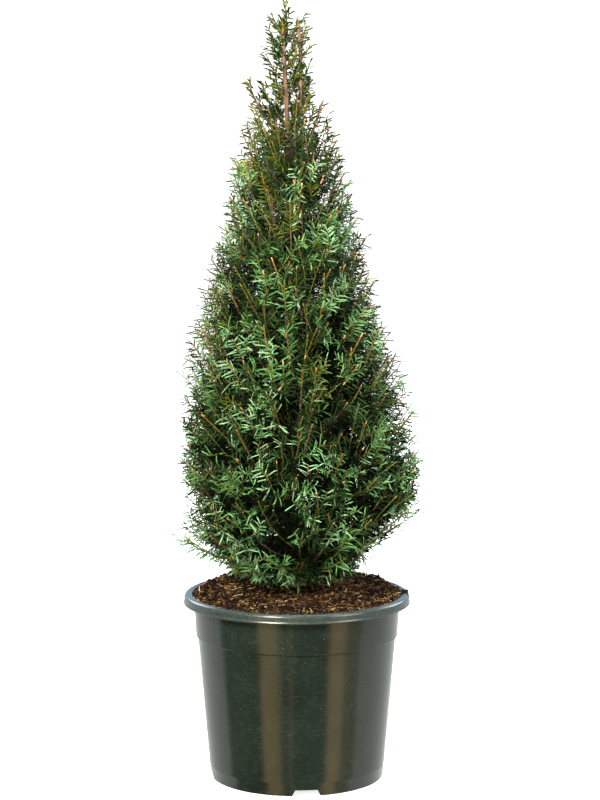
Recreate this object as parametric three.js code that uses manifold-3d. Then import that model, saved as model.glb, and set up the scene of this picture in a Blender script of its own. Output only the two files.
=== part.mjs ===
// A young English yew (Taxus baccata) clipped to a cone, standing in a black-green nursery pot.
//
// Millimetres, +Z up. The origin is the centre of the pot's flat underside, and -Y faces the viewer.
// The trunk runs whole from the soil to the leader's tip. Boughs leave it in tiers, each one tapering limb
// that ends where it enters its own mass of foliage. A mass keeps to its own wedge of the crown: it is a stem
// that grows on from the bough, a small dense core, and sprays of needles that branch from the stem.
import * as THREE from "three";
import { mergeVertices } from "three/addons/utils/BufferGeometryUtils.js";
import Module from "manifold-3d";

const wasm = await Module();
wasm.setup();
const { Manifold, Mesh } = wasm;

// Clearance between two pieces that touch on the real plant
const gap = 0.3;

// Pot: a 15 litre container with a rolled rim, a shoulder in the wall and four drainage channels under it
const potHeight = 262.7;
const rimRadius = 160;
const rimCrestRadius = 154;
const mouthRadius = 148.5;
const rimDepth = 14;
const wallTopRadius = 145.5;
const shoulderHeight = 202;
const shoulderStep = 2.8;
const wallShoulderRadius = 142.6;
const footRadius = 122.4;
const footChamfer = 2.2;
const potWall = 2.6;
const potSides = 32;
const channelCount = 4;
const channelTurn = THREE.MathUtils.degToRad(-83.7);
const channelFootWidth = 41;
const channelRoofWidth = 31;
const channelHeight = 9;
const channelInnerRadius = 84;
const channelOverrun = 20;
const drainRadius = 6;
const drainRingRadius = 103;

// Soil: heaped a little towards the trunk
const soilEdgeHeight = 257.5;
const soilCrownHeight = 271;
const soilPadRadius = 27;
const soilLump = 2.2;
const soilRings = [118, 72];

// Trunk: a leaning leader that tapers evenly, with a root flare just above the soil
const trunkFoot = soilCrownHeight + gap;
const trunkTip = 1046;
const trunkBaseRadius = 13;
const trunkTipRadius = 2;
const trunkSides = 9;
const flareSteps = [0, 4, 9, 16, 28, 45];
const flareRadius = 8;
const flareHeight = 16;
const flareLobe = 0.35;
const trunkLean = new THREE.Vector2(-19, 3);
const trunkSway = new THREE.Vector2(-1.8, 3);

// Crown: widest low down, then a slightly bellied cone up to the tips
const crownTop = 1090;
const crownWaist = 400;
const crownFoot = 270;
const crownRadius = 177;
const crownBelly = 0.7;
const crownTipRadius = 26;
const crownClear = 283;
const spaceMargin = 1.6;

// Tiers, from the lowest up. A tier's upper border is the cone z = rise + slope * r, "turn" is its first
// bough's bearing in degrees and "limb" its boughs' radius at the trunk. Sprays of needles may stand "stray"
// out of the crown's surface, and "heart" is how far a mass's core fills its space.
const tiers = [
  { name: "skirt", masses: 5, turn: -72, rise: 305, slope: 0.75, limb: 4.6, stray: 8, heart: 0.97, seed: 4 },
  { name: "lower", masses: 5, turn: -36, rise: 390, slope: 0.95, limb: 4.6, stray: 8, heart: 0.97, seed: 4 },
  { name: "waist", masses: 4, turn: -84, rise: 490, slope: 1.15, limb: 4.2, stray: 8, heart: 0.95, seed: 4 },
  { name: "middle", masses: 4, turn: -5, rise: 600, slope: 1.35, limb: 3.8, stray: 8, heart: 0.93, seed: 16 },
  { name: "upper", masses: 3, turn: -90, rise: 730, slope: 1.55, limb: 3.4, stray: 10, heart: 0.86, seed: 2 },
  { name: "neck", masses: 2, turn: -30, rise: 850, slope: 1.75, limb: 3.0, stray: 12, heart: 0.7, seed: 2 },
  { name: "crest", masses: 2, turn: 0, rise: 1040, slope: 0.8, limb: 2.8, stray: 18, heart: 0, seed: 8 },
  { name: "leader", masses: 1, turn: 0, rise: Infinity, slope: 0, limb: 0, stray: 0, heart: 0, seed: 4 },
];
const crestLevel = 6;
const leaderLevel = 7;

// Limbs: they fork off low in their tier and bend up a little towards a place high on its face. Their bough
// and their stem end at shares of that curve, and each tapers by a share of its radius.
const forkShare = 0.4;
const aimShare = 0.62;
const aimInset = 2;
const limbBend = 0.45;
const boughShare = 0.34;
const stemShare = 0.62;
const leaderStemShare = 0.3;
const limbTaper = 0.3;
const limbSides = 5;

// The two free shoots beside the leader: a second leader close to it, and a lower shoot that curves away
const crestShoots = [
  { reach: 22, fork: 876, aim: 1062, hug: 4 },
  { reach: 50, fork: 886, aim: 978, hug: 1.5 },
];

// Cores: lumpy eight-sided pods that stay well inside the crown's surface
const coreInset = 27;
const coreRough = 0.1;
const coreStart = 7;
const coreMiddle = 0.47;
const coreReach = 0.45;
const coreEight = [[1, 0.5], [0.6, 1], [-0.6, 1], [-1, 0.5], [-1, -0.5], [-0.6, -1], [0.6, -1], [1, -0.5]];
const coreSwell = [
  [0, 0.6],
  [0.25, 0.97],
  [0.75, 1],
  [1, 0.72],
];

// Sprays: a toothed blade on its own stalk stands for one side branch with its needles. The counts are the most
// that each mass of a tier takes, from the lowest tier up.
const sprayCounts = [4, 4, 4, 5, 5, 5, 8, 1];
const sprayLength = 72;
const sprayWidth = 47;
const crestSprayLength = 108;
const crestSprayWidth = 37;
const toothPitch = 24;
const bladeThickness = 1.4;
const stalkThickness = 3.2;
const sprayDroop = 5;
const sprayLift = 66;
const sprayLean = 7;
const sprayClear = 24;
const sprayRibs = [0.45, 0.6, 0.8, 1];
const stalkHalf = 0.045;
const stalkNeck = 0.034;
const bladeShare = 0.88;

// Sprays stand on a mass's face by a low-discrepancy sequence in two directions
const faceSteps = [0.7548776662, 0.569840291];
const faceWidth = 0.85;
const faceFoot = 0.3;
const faceHeight = 0.64;

const tangentStep = 0.004;

// Seeded random numbers from 0 to 1
function seededRandom(seed) {
  let state = (seed * 2654435761) % 4294967296;
  return () => {
    state = (1664525 * state + 1013904223) % 4294967296;
    return state / 4294967296;
  };
}

// A closed solid from a geometry, by position alone
function solidFrom(geometry) {
  const bare = new THREE.BufferGeometry();
  bare.setAttribute("position", geometry.getAttribute("position"));
  if (geometry.index) bare.setIndex(geometry.index);
  const merged = mergeVertices(bare, 1e-4);
  const index = merged.index.array;
  const kept = [];
  for (let i = 0; i < index.length; i += 3) {
    const [a, b, c] = [index[i], index[i + 1], index[i + 2]];
    if (a !== b && b !== c && c !== a) kept.push(a, b, c);
  }
  return new Manifold(
    new Mesh({
      numProp: 3,
      vertProperties: new Float32Array(merged.attributes.position.array),
      triVerts: new Uint32Array(kept),
    }),
  );
}

function geometryFrom(solid) {
  const mesh = solid.getMesh();
  const geometry = new THREE.BufferGeometry();
  geometry.setAttribute("position", new THREE.BufferAttribute(mesh.vertProperties, 3));
  geometry.setIndex(new THREE.BufferAttribute(mesh.triVerts, 1));
  return geometry.toNonIndexed();
}

// Skins rings of points, all of one count and turning anticlockwise seen from the last ring, and closes both
// ends
function loft(rings) {
  const sides = rings[0].length;
  const points = rings.flat();
  const faces = [];
  for (let r = 0; r + 1 < rings.length; r++) {
    for (let i = 0; i < sides; i++) {
      const a = r * sides + i;
      const b = r * sides + ((i + 1) % sides);
      faces.push(a, b, b + sides, a, b + sides, a + sides);
    }
  }
  const last = (rings.length - 1) * sides;
  for (let i = 1; i + 1 < sides; i++) {
    faces.push(0, i + 1, i);
    faces.push(last, last + i, last + i + 1);
  }
  const geometry = new THREE.BufferGeometry().setFromPoints(points);
  geometry.setIndex(faces);
  return solidFrom(geometry);
}

// A round limb along part of a curve, where "radiusAt" takes the share of its length
function limbAlong(curve, from, to, steps, sides, radiusAt) {
  const rings = [];
  let side = new THREE.Vector3(0.31, 0.95, 0.05);
  for (let i = 0; i <= steps; i++) {
    const share = from + ((to - from) * i) / steps;
    const along = curve(share + tangentStep).sub(curve(share - tangentStep)).normalize();
    side = side.clone().addScaledVector(along, -side.dot(along)).normalize();
    const face = along.clone().cross(side);
    const radius = radiusAt(i / steps);
    rings.push(
      Array.from({ length: sides }, (_, k) => {
        const turn = (2 * Math.PI * k) / sides;
        const point = curve(share).addScaledVector(side, radius * Math.cos(turn));
        return point.addScaledVector(face, radius * Math.sin(turn));
      }),
    );
  }
  return loft(rings);
}

// Revolves a closed profile of [radius, height] points about Z
function turned(profile) {
  const points = profile.map(([radius, height]) => new THREE.Vector2(radius, height));
  return solidFrom(new THREE.LatheGeometry(points, potSides).rotateX(Math.PI / 2));
}

// Radius of the pot's outer wall between the foot and the shoulder
function wallRadius(height) {
  const slope = (wallShoulderRadius - shoulderStep - footRadius) / shoulderHeight;
  return footRadius + slope * height;
}

// The pot's inside as a profile of [radius, height], drawn in by "inset", from a floor up to a top
function potInside(inset, floor, top) {
  const lipHeight = potHeight - rimDepth;
  const wall = potWall + inset;
  return [
    [wallRadius(floor) - wall, floor],
    [wallRadius(shoulderHeight) - wall, shoulderHeight],
    [wallShoulderRadius - wall, shoulderHeight + 2 * potWall],
    [wallTopRadius - wall, lipHeight],
    [mouthRadius - inset, top],
  ];
}

// One drainage channel as a prism that runs out through the foot of the wall, grown all round by "grow"
function channelPrism(turn, grow) {
  const foot = channelFootWidth / 2 + grow;
  const roof = channelRoofWidth / 2 + grow;
  const height = channelHeight + grow;
  const section = new THREE.Shape([
    new THREE.Vector2(-foot, -1),
    new THREE.Vector2(foot, -1),
    new THREE.Vector2(roof, height),
    new THREE.Vector2(-roof, height),
  ]);
  const length = footRadius + channelOverrun - channelInnerRadius + grow;
  const prism = new THREE.ExtrudeGeometry(section, { depth: length, bevelEnabled: false });
  prism.rotateX(Math.PI / 2).rotateZ(Math.PI / 2);
  prism.translate(channelInnerRadius - grow, 0, 0);
  return solidFrom(prism.rotateZ(turn));
}

function channelTurns() {
  return Array.from({ length: channelCount }, (_, k) => channelTurn + (2 * Math.PI * k) / channelCount);
}

function channels(grow) {
  return Manifold.union(channelTurns().map((turn) => channelPrism(turn, grow)));
}

function drainHoles() {
  const holes = channelTurns().map((turn) => {
    const hole = new THREE.CylinderGeometry(drainRadius, drainRadius, 3 * potWall, 8);
    hole.rotateX(Math.PI / 2);
    hole.translate(drainRingRadius, 0, channelHeight + potWall / 2);
    return solidFrom(hole.rotateZ(turn));
  });
  return Manifold.union(holes);
}

function makePot() {
  const lipHeight = potHeight - rimDepth;
  const outside = turned([
    [0, 0],
    [footRadius - footChamfer, 0],
    [wallRadius(footChamfer), footChamfer],
    [wallRadius(shoulderHeight), shoulderHeight],
    [wallShoulderRadius, shoulderHeight + 4],
    [wallTopRadius, lipHeight + 2.5],
    [rimRadius - 1, lipHeight],
    [rimRadius, lipHeight + 2.4],
    [rimRadius - 2, potHeight - 4.5],
    [rimCrestRadius + 1.5, potHeight - 0.4],
    [rimCrestRadius - 2, potHeight],
    [mouthRadius, potHeight - 1.2],
    [0, potHeight - 1.2],
  ]);
  const mouth = [[mouthRadius, potHeight + 10], [0, potHeight + 10]];
  const hollow = turned([[0, potWall], ...potInside(0, potWall, potHeight - 1.2), ...mouth]);
  const inside = hollow.subtract(channels(potWall));
  return outside.subtract(inside).subtract(channels(0)).subtract(drainHoles());
}

function soilHeight(radius, turn) {
  const share = Math.max(0, (radius - soilPadRadius) / (mouthRadius - soilPadRadius));
  const heap = soilCrownHeight - (soilCrownHeight - soilEdgeHeight) * share ** 1.6;
  const lumps = Math.sin(3 * turn + 0.06 * radius) + 0.8 * Math.sin(7 * turn - 0.11 * radius);
  return heap + soilLump * lumps * Math.min(1, 2.5 * share) * (1 - 0.6 * share);
}

// The soil fills the pot from the roofs of its drainage channels up, a gap clear of the wall
function makeSoil() {
  const sides = potSides / 2;
  const ringAt = (radius, heightAt) =>
    Array.from({ length: sides }, (_, k) => {
      const turn = (2 * Math.PI * k) / sides;
      return new THREE.Vector3(radius * Math.cos(turn), radius * Math.sin(turn), heightAt(radius, turn));
    });
  const wall = potInside(2 * gap, channelHeight + potWall + gap, potHeight + 4).map(([radius, height]) =>
    ringAt(radius, () => height),
  );
  const body = loft([...wall, ringAt(soilPadRadius, () => potHeight + 30)]);
  const heap = loft([
    ringAt(rimRadius, () => 0),
    ringAt(rimRadius, soilHeight),
    ...soilRings.map((radius) => ringAt(radius, soilHeight)),
    ringAt(soilPadRadius, () => soilCrownHeight),
  ]);
  return body.intersect(heap);
}

// The trunk's centre at a height, which is also the crown's axis
function axisAt(height) {
  const share = THREE.MathUtils.clamp((height - trunkFoot) / (trunkTip - trunkFoot), 0, 1.1);
  return new THREE.Vector3(
    trunkLean.x * share ** 1.6 + trunkSway.x * Math.sin(2 * Math.PI * share),
    trunkLean.y * share + trunkSway.y * Math.sin(Math.PI * share),
    height,
  );
}

function trunkRadius(height) {
  const share = (height - trunkFoot) / (trunkTip - trunkFoot);
  return THREE.MathUtils.lerp(trunkBaseRadius, trunkTipRadius, THREE.MathUtils.clamp(share, 0, 1));
}

// The trunk as one loft, with rings close together up the root flare, grown all round by "grow"
function makeTrunk(grow) {
  const steps = [...flareSteps];
  for (let step = 100; step < trunkTip - trunkFoot - 30; step += 60) steps.push(step);
  const heights = [...steps.map((step) => trunkFoot + step), trunkTip];
  return loft(
    heights.map((height) => {
      const flare = flareRadius * Math.exp(-(height - trunkFoot) / flareHeight);
      return Array.from({ length: trunkSides }, (_, k) => {
        const turn = (2 * Math.PI * k) / trunkSides;
        const lobes = 1 + flareLobe * Math.cos(4 * turn + 0.6);
        const radius = trunkRadius(height) + grow + flare * lobes;
        return axisAt(height).add(new THREE.Vector3(radius * Math.cos(turn), radius * Math.sin(turn), 0));
      });
    }),
  );
}

// The crown's outer radius at a height and bearing
function crownRadiusAt(height, bearing) {
  if (height >= crownTop) return 0;
  const broadWave = -0.035 * Math.sin(3 * bearing + 0.011 * height);
  const waves = broadWave + 0.03 * Math.sin(5 * bearing - 0.023 * height);
  if (height >= crownWaist) {
    const share = (1 - (height - crownWaist) / (crownTop - crownWaist)) ** crownBelly;
    return Math.max(crownRadius * share * (1 + waves), crownTipRadius);
  }
  const drop = Math.min(1, (crownWaist - height) / (crownWaist - crownFoot));
  return crownRadius * (1 - drop ** 2.2) ** 0.65 * (1 + waves);
}

function pointAt(bearing, radius, height) {
  return axisAt(height).add(new THREE.Vector3(radius * Math.cos(bearing), radius * Math.sin(bearing), 0));
}

function radiusOf(point) {
  const axis = axisAt(point.z);
  return Math.hypot(point.x - axis.x, point.y - axis.y);
}

// The heights of a tier's lower and upper borders at a radius
function tierFloor(level, radius) {
  return level === 0 ? crownClear : tiers[level - 1].rise + tiers[level - 1].slope * radius;
}

function tierCeiling(level, radius) {
  return tiers[level].rise + tiers[level].slope * radius;
}

function heightIn(level, radius, rise) {
  return THREE.MathUtils.lerp(tierFloor(level, radius), tierCeiling(level, radius), rise);
}

// A place in a mass's space: "across" from -1 to 1 over its wedge, "rise" from 0 to 1 between its borders,
// and "out" from 0 to 1 between the radius "inner" and the crown's surface drawn in by "inset". A few damped
// steps find where the border cone meets the surface.
function placeIn(mass, across, rise, out, inner, inset) {
  const bearing = mass.bearing + across * mass.half;
  let outer = 0.5 * crownRadius;
  for (let k = 0; k < 40; k++) {
    const surface = crownRadiusAt(heightIn(mass.level, outer, rise), bearing) - inset;
    outer += 0.3 * (surface - outer);
  }
  const radius = THREE.MathUtils.lerp(inner, Math.max(outer, inner), out);
  return pointAt(bearing, radius, heightIn(mass.level, radius, rise));
}

// True if a point is inside a mass's own space, or no more than "stray" outside the crown's surface
function inSpace(mass, point, stray) {
  const axis = axisAt(point.z);
  const radius = radiusOf(point);
  const bearing = Math.atan2(point.y - axis.y, point.x - axis.x);
  if (radius > crownRadiusAt(point.z, bearing) + stray || point.z > crownTop) return false;
  if (point.z < trunkTip + 3 && radius < trunkRadius(point.z) + 2 * spaceMargin) return false;
  const turns = (bearing - mass.bearing) / (2 * Math.PI);
  const off = 2 * Math.PI * Math.abs(turns - Math.round(turns));
  const inside = Math.min(mass.half - off, Math.PI / 2);
  if (mass.half < Math.PI && radius * Math.sin(inside) < spaceMargin) return false;
  const lowest = Math.max(crownClear, tierFloor(mass.level, radius) + 2 * spaceMargin);
  return point.z > lowest && point.z < tierCeiling(mass.level, radius) - 2 * spaceMargin;
}

// The curve that a bough and its stem share, from the trunk's middle to the crown's surface
function limbCurve(mass) {
  if (mass.level === leaderLevel) {
    const shoot = crownTop - trunkTip - gap - 1;
    return (share) => axisAt(trunkTip + gap + shoot * share);
  }
  if (mass.level === crestLevel) {
    const { reach, fork, aim, hug } = crestShoots[mass.place];
    const spread = (share) => reach * (1 - Math.max(0, 1 - share) ** hug);
    return (share) => pointAt(mass.bearing, spread(share), fork + (aim - fork) * share);
  }
  const end = placeIn(mass, 0, aimShare, 1, 0, aimInset);
  const fork = heightIn(mass.level, 0, forkShare);
  const reach = radiusOf(end);
  const climb = end.z - fork;
  const rise = (share) => fork + climb * THREE.MathUtils.lerp(share, share ** 2, limbBend);
  return (share) => pointAt(mass.bearing, reach * share, rise(share));
}

// Every mass with its wedge, its limb's curve and its own random numbers
function layOutMasses() {
  const masses = [];
  tiers.forEach((tier, level) => {
    for (let place = 0; place < tier.masses; place++) {
      const half = Math.PI / tier.masses;
      const bearing = THREE.MathUtils.degToRad(tier.turn) + 2 * half * place;
      const name = tier.masses > 1 ? `${tier.name}_${place + 1}` : tier.name;
      const mass = { name, level, place, half, bearing };
      mass.random = seededRandom(100 * (level + 1) + place + tier.seed);
      mass.curve = limbCurve(mass);
      mass.entry = level === leaderLevel ? 0 : boughShare;
      mass.stemEnd = level === leaderLevel ? leaderStemShare : stemShare;
      masses.push(mass);
    }
  });
  return masses;
}

// The bough from the trunk's bark to its mass
function makeBough(mass, clearTrunk) {
  const { limb } = tiers[mass.level];
  const radiusAt = (share) => limb * (1 - limbTaper * share);
  return limbAlong(mass.curve, 0, mass.entry, 2, limbSides, radiusAt).subtract(clearTrunk);
}

// The stem that grows on from the bough, a gap clear of it
function makeStem(mass) {
  const isLeader = mass.level === leaderLevel;
  const pace = mass.curve(mass.entry + 0.01).distanceTo(mass.curve(mass.entry)) / 0.01;
  const start = isLeader ? 0 : mass.entry + gap / pace;
  const foot = isLeader ? trunkTipRadius : tiers[mass.level].limb * (1 - limbTaper);
  const radiusAt = (share) => foot * (1 - limbTaper * share);
  return limbAlong(mass.curve, start, mass.stemEnd, 2, limbSides, radiusAt);
}

// The outline of a spray, 1 long and 1 wide: its stalk, then needles as teeth on both sides. The teeth are
// longest at the middle of the blade, and each points forward past the root of the next.
function sprayOutline(stalk, teeth) {
  const side = [
    [0, stalkHalf],
    [0.55 * stalk, stalkNeck],
  ];
  const pitch = (bladeShare * (1 - stalk)) / teeth;
  for (let tooth = 0; tooth < teeth; tooth++) {
    const swell = Math.sin(Math.PI * (0.28 + (0.5 * (tooth + 0.7)) / teeth));
    const root = stalk + pitch * tooth;
    side.push([root, stalkHalf], [root + 1.05 * pitch, 0.5 * swell]);
  }
  side.push([1 - 0.95 * (1 - bladeShare) * (1 - stalk), stalkNeck]);
  const right = side.map(([u, v]) => new THREE.Vector2(u, -v));
  const left = side.map(([u, v]) => new THREE.Vector2(u, v)).reverse();
  return [...right, new THREE.Vector2(1, 0), ...left];
}

// A spray's greatest length and its width, which is less at the thin top
function spraySizeAt(mass) {
  return mass.level < crestLevel ? [sprayLength, sprayWidth] : [crestSprayLength, crestSprayWidth];
}

// A spray bent along a path: "corners" are its outline, "rib" its outer half, and "build" makes its solid
function sprayAlong(mass, path, reach, facing) {
  const [length, width] = spraySizeAt(mass);
  const blade = Math.min(length / reach, 0.9);
  const stalk = 1 - blade;
  const outline = sprayOutline(stalk, Math.max(2, Math.round((blade * reach) / toothPitch)));
  const bentPoint = (u, v, w) => {
    const along = path(u + 0.01).sub(path(u - 0.01)).normalize();
    const side = facing.clone().cross(along).normalize();
    const face = along.clone().cross(side);
    const thickness = bladeThickness + (stalkThickness - bladeThickness) * Math.max(0, 1 - u / stalk);
    const droop = 4 * sprayDroop * v * v;
    return path(u).addScaledVector(side, v * width).addScaledVector(face, w * thickness - droop);
  };
  const corners = outline.map(({ x, y }) => bentPoint(x, y, 0)).slice(1, -1);
  const rib = sprayRibs.map((share) => path(stalk + blade * share));
  const build = () => {
    const flat = new THREE.ExtrudeGeometry(new THREE.Shape(outline), { depth: 1, bevelEnabled: false });
    const places = flat.getAttribute("position");
    for (let i = 0; i < places.count; i++) {
      const bent = bentPoint(places.getX(i), places.getY(i), places.getZ(i) - 0.5);
      places.setXYZ(i, bent.x, bent.y, bent.z);
    }
    return solidFrom(flat);
  };
  return { corners, rib, build };
}

// The spray at a stem's own end
function endSpray(mass) {
  const root = mass.stemEnd - 0.04;
  const path = (share) => mass.curve(THREE.MathUtils.lerp(root, 1, share));
  const tip = path(1);
  const facing = mass.level === leaderLevel ? new THREE.Vector3(0.3, -1, 0) : tip.clone().sub(axisAt(tip.z));
  facing.normalize().z += 0.6;
  return sprayAlong(mass, path, path(0).distanceTo(tip), facing.normalize());
}

// A side branch that runs out from the stem and turns up to a place on the crown's surface
function sideSpray(mass, target, draws) {
  const room = THREE.MathUtils.clamp((target.z - mass.curve(mass.entry).z - 40) / 80, 0, 1);
  const start = mass.curve(THREE.MathUtils.lerp(mass.entry + 0.04, mass.stemEnd - 0.05, draws[0] * room));
  const outward = target.clone().sub(axisAt(target.z)).normalize();
  const lift = Math.min(sprayLift, 26 + 13 * mass.level) * (0.85 + 0.3 * draws[1]);
  const elbow = target.clone().addScaledVector(outward, sprayLean);
  elbow.z = Math.max(target.z - lift, start.z - 6);
  const bend = new THREE.QuadraticBezierCurve3(start, elbow, target);
  const path = (share) => bend.getPoint(THREE.MathUtils.clamp(share, 0, 1));
  const facing = outward.add(new THREE.Vector3(0.9 * (draws[1] - 0.5), 0.9 * (draws[2] - 0.5), 0.25));
  return sprayAlong(mass, path, bend.getLength(), facing.normalize());
}

// Sprays spread evenly over a mass's face. One that would leave its space or cross another is skipped.
function makeSprays(mass) {
  const { stray } = tiers[mass.level];
  const clear = sprayClear * (spraySizeAt(mass)[1] / sprayWidth);
  const placed = [endSpray(mass)];
  const tips = [mass.curve(1)];
  for (let k = 1; k < 60 && placed.length < sprayCounts[mass.level]; k++) {
    const draws = [mass.random(), mass.random(), mass.random()];
    const across = faceWidth * (2 * ((0.5 + faceSteps[0] * k) % 1) - 1);
    const rise = faceFoot + faceHeight * ((0.32 + faceSteps[1] * k) % 1);
    const target = placeIn(mass, across, rise, 1, 0, 1 + 5 * draws[1]);
    if (tips.some((tip) => tip.distanceTo(target) < 1.7 * clear)) continue;
    const spray = sideSpray(mass, target, draws);
    const leaves = spray.corners.some((corner) => !inSpace(mass, corner, stray));
    const crosses = placed.some(({ rib }) => rib.some((a) => spray.rib.some((b) => a.distanceTo(b) < clear)));
    if (leaves || crosses) continue;
    placed.push(spray);
    tips.push(target);
  }
  return placed.map((spray) => spray.build());
}

// The dense heart of a mass: a lumpy pod that fills its space to well inside the crown's surface
function makeCore(mass) {
  const { heart } = tiers[mass.level];
  const inner = radiusOf(mass.curve(mass.entry)) + coreStart;
  const rings = coreSwell.map(([out, swell]) =>
    coreEight.map(([across, rise]) => {
      const size = heart * swell * (1 - coreRough * mass.random());
      const wide = Math.min(0.96, 1.04 * size);
      return placeIn(mass, across * wide, coreMiddle + coreReach * rise * size, out, inner, coreInset);
    }),
  );
  return loft(rings);
}

// Fuses a mass. Its largest shell is kept, without the small hollows that fusing seals inside it.
function makeMass(mass) {
  const pieces = [makeStem(mass), ...makeSprays(mass)];
  if (tiers[mass.level].heart > 0) pieces.push(makeCore(mass));
  const shells = Manifold.union(pieces).decompose();
  return shells.reduce((whole, shell) => (shell.volume() > whole.volume() ? shell : whole));
}

function meshOf(name, solid, color, roughness) {
  const material = new THREE.MeshStandardMaterial({ color, roughness, metalness: 0 });
  const mesh = new THREE.Mesh(geometryFrom(solid), material);
  mesh.name = name;
  return mesh;
}

const yew = new THREE.Group();
yew.add(meshOf("pot", makePot(), 0x2c362f, 0.35));
yew.add(meshOf("soil", makeSoil(), 0x3b2a1c, 0.95));
yew.add(meshOf("trunk", makeTrunk(0), 0x7a5a45, 0.85));

const clearTrunk = makeTrunk(gap);
for (const mass of layOutMasses()) {
  if (mass.level !== leaderLevel) {
    yew.add(meshOf(`bough_${mass.name}`, makeBough(mass, clearTrunk), 0x7b5b40, 0.85));
  }
  yew.add(meshOf(`foliage_${mass.name}`, makeMass(mass), 0x3d5a34, 0.6));
}

export default yew;
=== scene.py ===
# A potted English yew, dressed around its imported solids. Lengths in the settings are millimetres, as in the
# part's own source, and angles are degrees. mm() turns a length into Blender's metres.
import math
import random

import bmesh
import bpy
import numpy as np
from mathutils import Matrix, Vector, noise


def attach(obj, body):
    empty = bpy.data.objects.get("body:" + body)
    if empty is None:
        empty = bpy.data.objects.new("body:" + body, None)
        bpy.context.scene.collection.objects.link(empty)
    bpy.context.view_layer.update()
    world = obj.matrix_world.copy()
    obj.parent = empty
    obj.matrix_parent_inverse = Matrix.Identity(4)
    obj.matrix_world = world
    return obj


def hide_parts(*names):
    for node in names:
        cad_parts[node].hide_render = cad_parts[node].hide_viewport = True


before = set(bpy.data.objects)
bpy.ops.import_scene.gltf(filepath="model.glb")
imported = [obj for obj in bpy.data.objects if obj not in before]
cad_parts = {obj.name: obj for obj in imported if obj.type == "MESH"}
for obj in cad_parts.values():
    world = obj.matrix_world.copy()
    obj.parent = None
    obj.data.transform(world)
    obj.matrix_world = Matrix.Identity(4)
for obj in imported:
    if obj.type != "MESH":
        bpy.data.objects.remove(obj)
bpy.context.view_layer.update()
bpy.ops.object.select_all(action="DESELECT")


def mm(length):
    return length / 1000


def mmPoint(point):
    return Vector([mm(value) for value in point])


def lerp(start, end, share):
    return start + (end - start) * share


def clamp(value, lowest, highest):
    return max(lowest, min(highest, value))


def ripple(waves, turn, reach):
    # how far a surface swells at a bearing. A wave has its size, how many times it goes round, and its slant.
    return sum(size * math.sin(count * turn + slant * reach) for size, count, slant in waves)


def unit(vectors):
    return vectors / np.maximum(np.linalg.norm(vectors, axis=-1, keepdims=True), 1e-9)


def linearColour(hexText):
    # sRGB hex to the linear values that Blender's sockets take
    channels = [int(hexText[i : i + 2], 16) / 255 for i in (1, 3, 5)]
    return tuple(c / 12.92 if c <= 0.04045 else ((c + 0.055) / 1.055) ** 2.4 for c in channels) + (1.0,)


def addNode(tree, kind, settings=None, values=None, links=None, stops=()):
    # one node with its settings, its sockets' own values, links as socket: (other node, its output), and a
    # colour ramp's stops as (position, hex)
    node = tree.nodes.new(kind)
    for name, setting in (settings or {}).items():
        setattr(node, name, setting)
    for socket, value in (values or {}).items():
        node.inputs[socket].default_value = value
    for socket, (other, output) in (links or {}).items():
        tree.links.new(other.outputs[output], node.inputs[socket])
    if stops:
        elements = node.color_ramp.elements
        while len(elements) < len(stops):
            elements.new(0.5)
        for element, (position, hexText) in zip(elements, stops):
            element.position = position
            element.color = linearColour(hexText)
    return node


def newMaterial(name, shaderValues):
    material = bpy.data.materials.new(name)
    material.use_nodes = True
    tree = material.node_tree
    shader = tree.nodes["Principled BSDF"]
    for socket, value in shaderValues.items():
        shader.inputs[socket].default_value = value
    return material, tree, shader


def grainedMaterial(name, shaderValues, tones, spread, grainMm, detail):
    # a colour that drifts between two tones with a noise of a real size. The noise comes back too, for a bump.
    material, tree, shader = newMaterial(name, shaderValues)
    place = addNode(tree, "ShaderNodeTexCoord")
    scale = {"Scale": 1 / mm(grainMm), "Detail": detail}
    grain = addNode(tree, "ShaderNodeTexNoise", {}, scale, {"Vector": (place, "Object")})
    stops = ((0.5 - spread, tones[0]), (0.5 + spread, tones[1]))
    ramp = addNode(tree, "ShaderNodeValToRGB", links={"Fac": (grain, "Fac")}, stops=stops)
    tree.links.new(ramp.outputs["Color"], shader.inputs["Base Color"])
    return material, tree, shader, grain


# Yew needles: a thin waxy cuticle, so a satin gloss over green that drifts a little along the shoot. Each
# spray takes one of these, from the near black and the deep green that are painted shade inside the crown (the
# deep green is also a plain tone high up) to the yellow green of the newest growth.
needleTones = {
    "needleShade": ("#060a04", "#0f1809", 0.04),
    "needleDeep": ("#172812", "#283f1d", 0.1),
    "needleMid": ("#43703c", "#629351", 0.28),
    # pale grey green: partly the paler waxy side of yew needles, partly a painted highlight
    "needleGrey": ("#5c895c", "#8ab27e", 0.36),
    "needleOlive": ("#35420f", "#57671f", 0.2),
    "needleFresh": ("#6c7c3a", "#8e9a4c", 0.24),
}
needleLook = {"driftMm": 14, "detail": 2.0, "spread": 0.14, "roughness": 0.42, "ior": 1.45}


def makeNeedleMaterials():
    made = []
    drift = needleLook["driftMm"], needleLook["detail"]
    for name, (dark, light, sheen) in needleTones.items():
        values = {"Roughness": needleLook["roughness"], "IOR": needleLook["ior"], "Specular IOR Level": sheen}
        made.append(grainedMaterial(name, values, (dark, light), needleLook["spread"], *drift)[0])
    return made


# Young yew wood keeps a thin green to orange skin, and a cut end shows the pale tan wood
twigTones = {
    "twigGreen": ("#545e22", "#767c36"),
    "twigOchre": ("#705726", "#987538"),
    "twigBrown": ("#5b4030", "#806050"),
    "cutWood": ("#b27f52", "#cf9c6c"),
    # near-black wood, painted shade for shoots deep inside the crown
    "twigShade": ("#0d0906", "#1a120b"),
}
twigLook = {"grainMm": 4, "detail": 3.0, "spread": 0.15, "roughness": 0.62, "sheen": 0.15}


def makeTwigMaterials():
    values = {"Roughness": twigLook["roughness"], "Specular IOR Level": twigLook["sheen"]}
    grain = twigLook["spread"], twigLook["grainMm"], twigLook["detail"]
    return [grainedMaterial(name, values, tones, *grain)[0] for name, tones in twigTones.items()]


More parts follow.
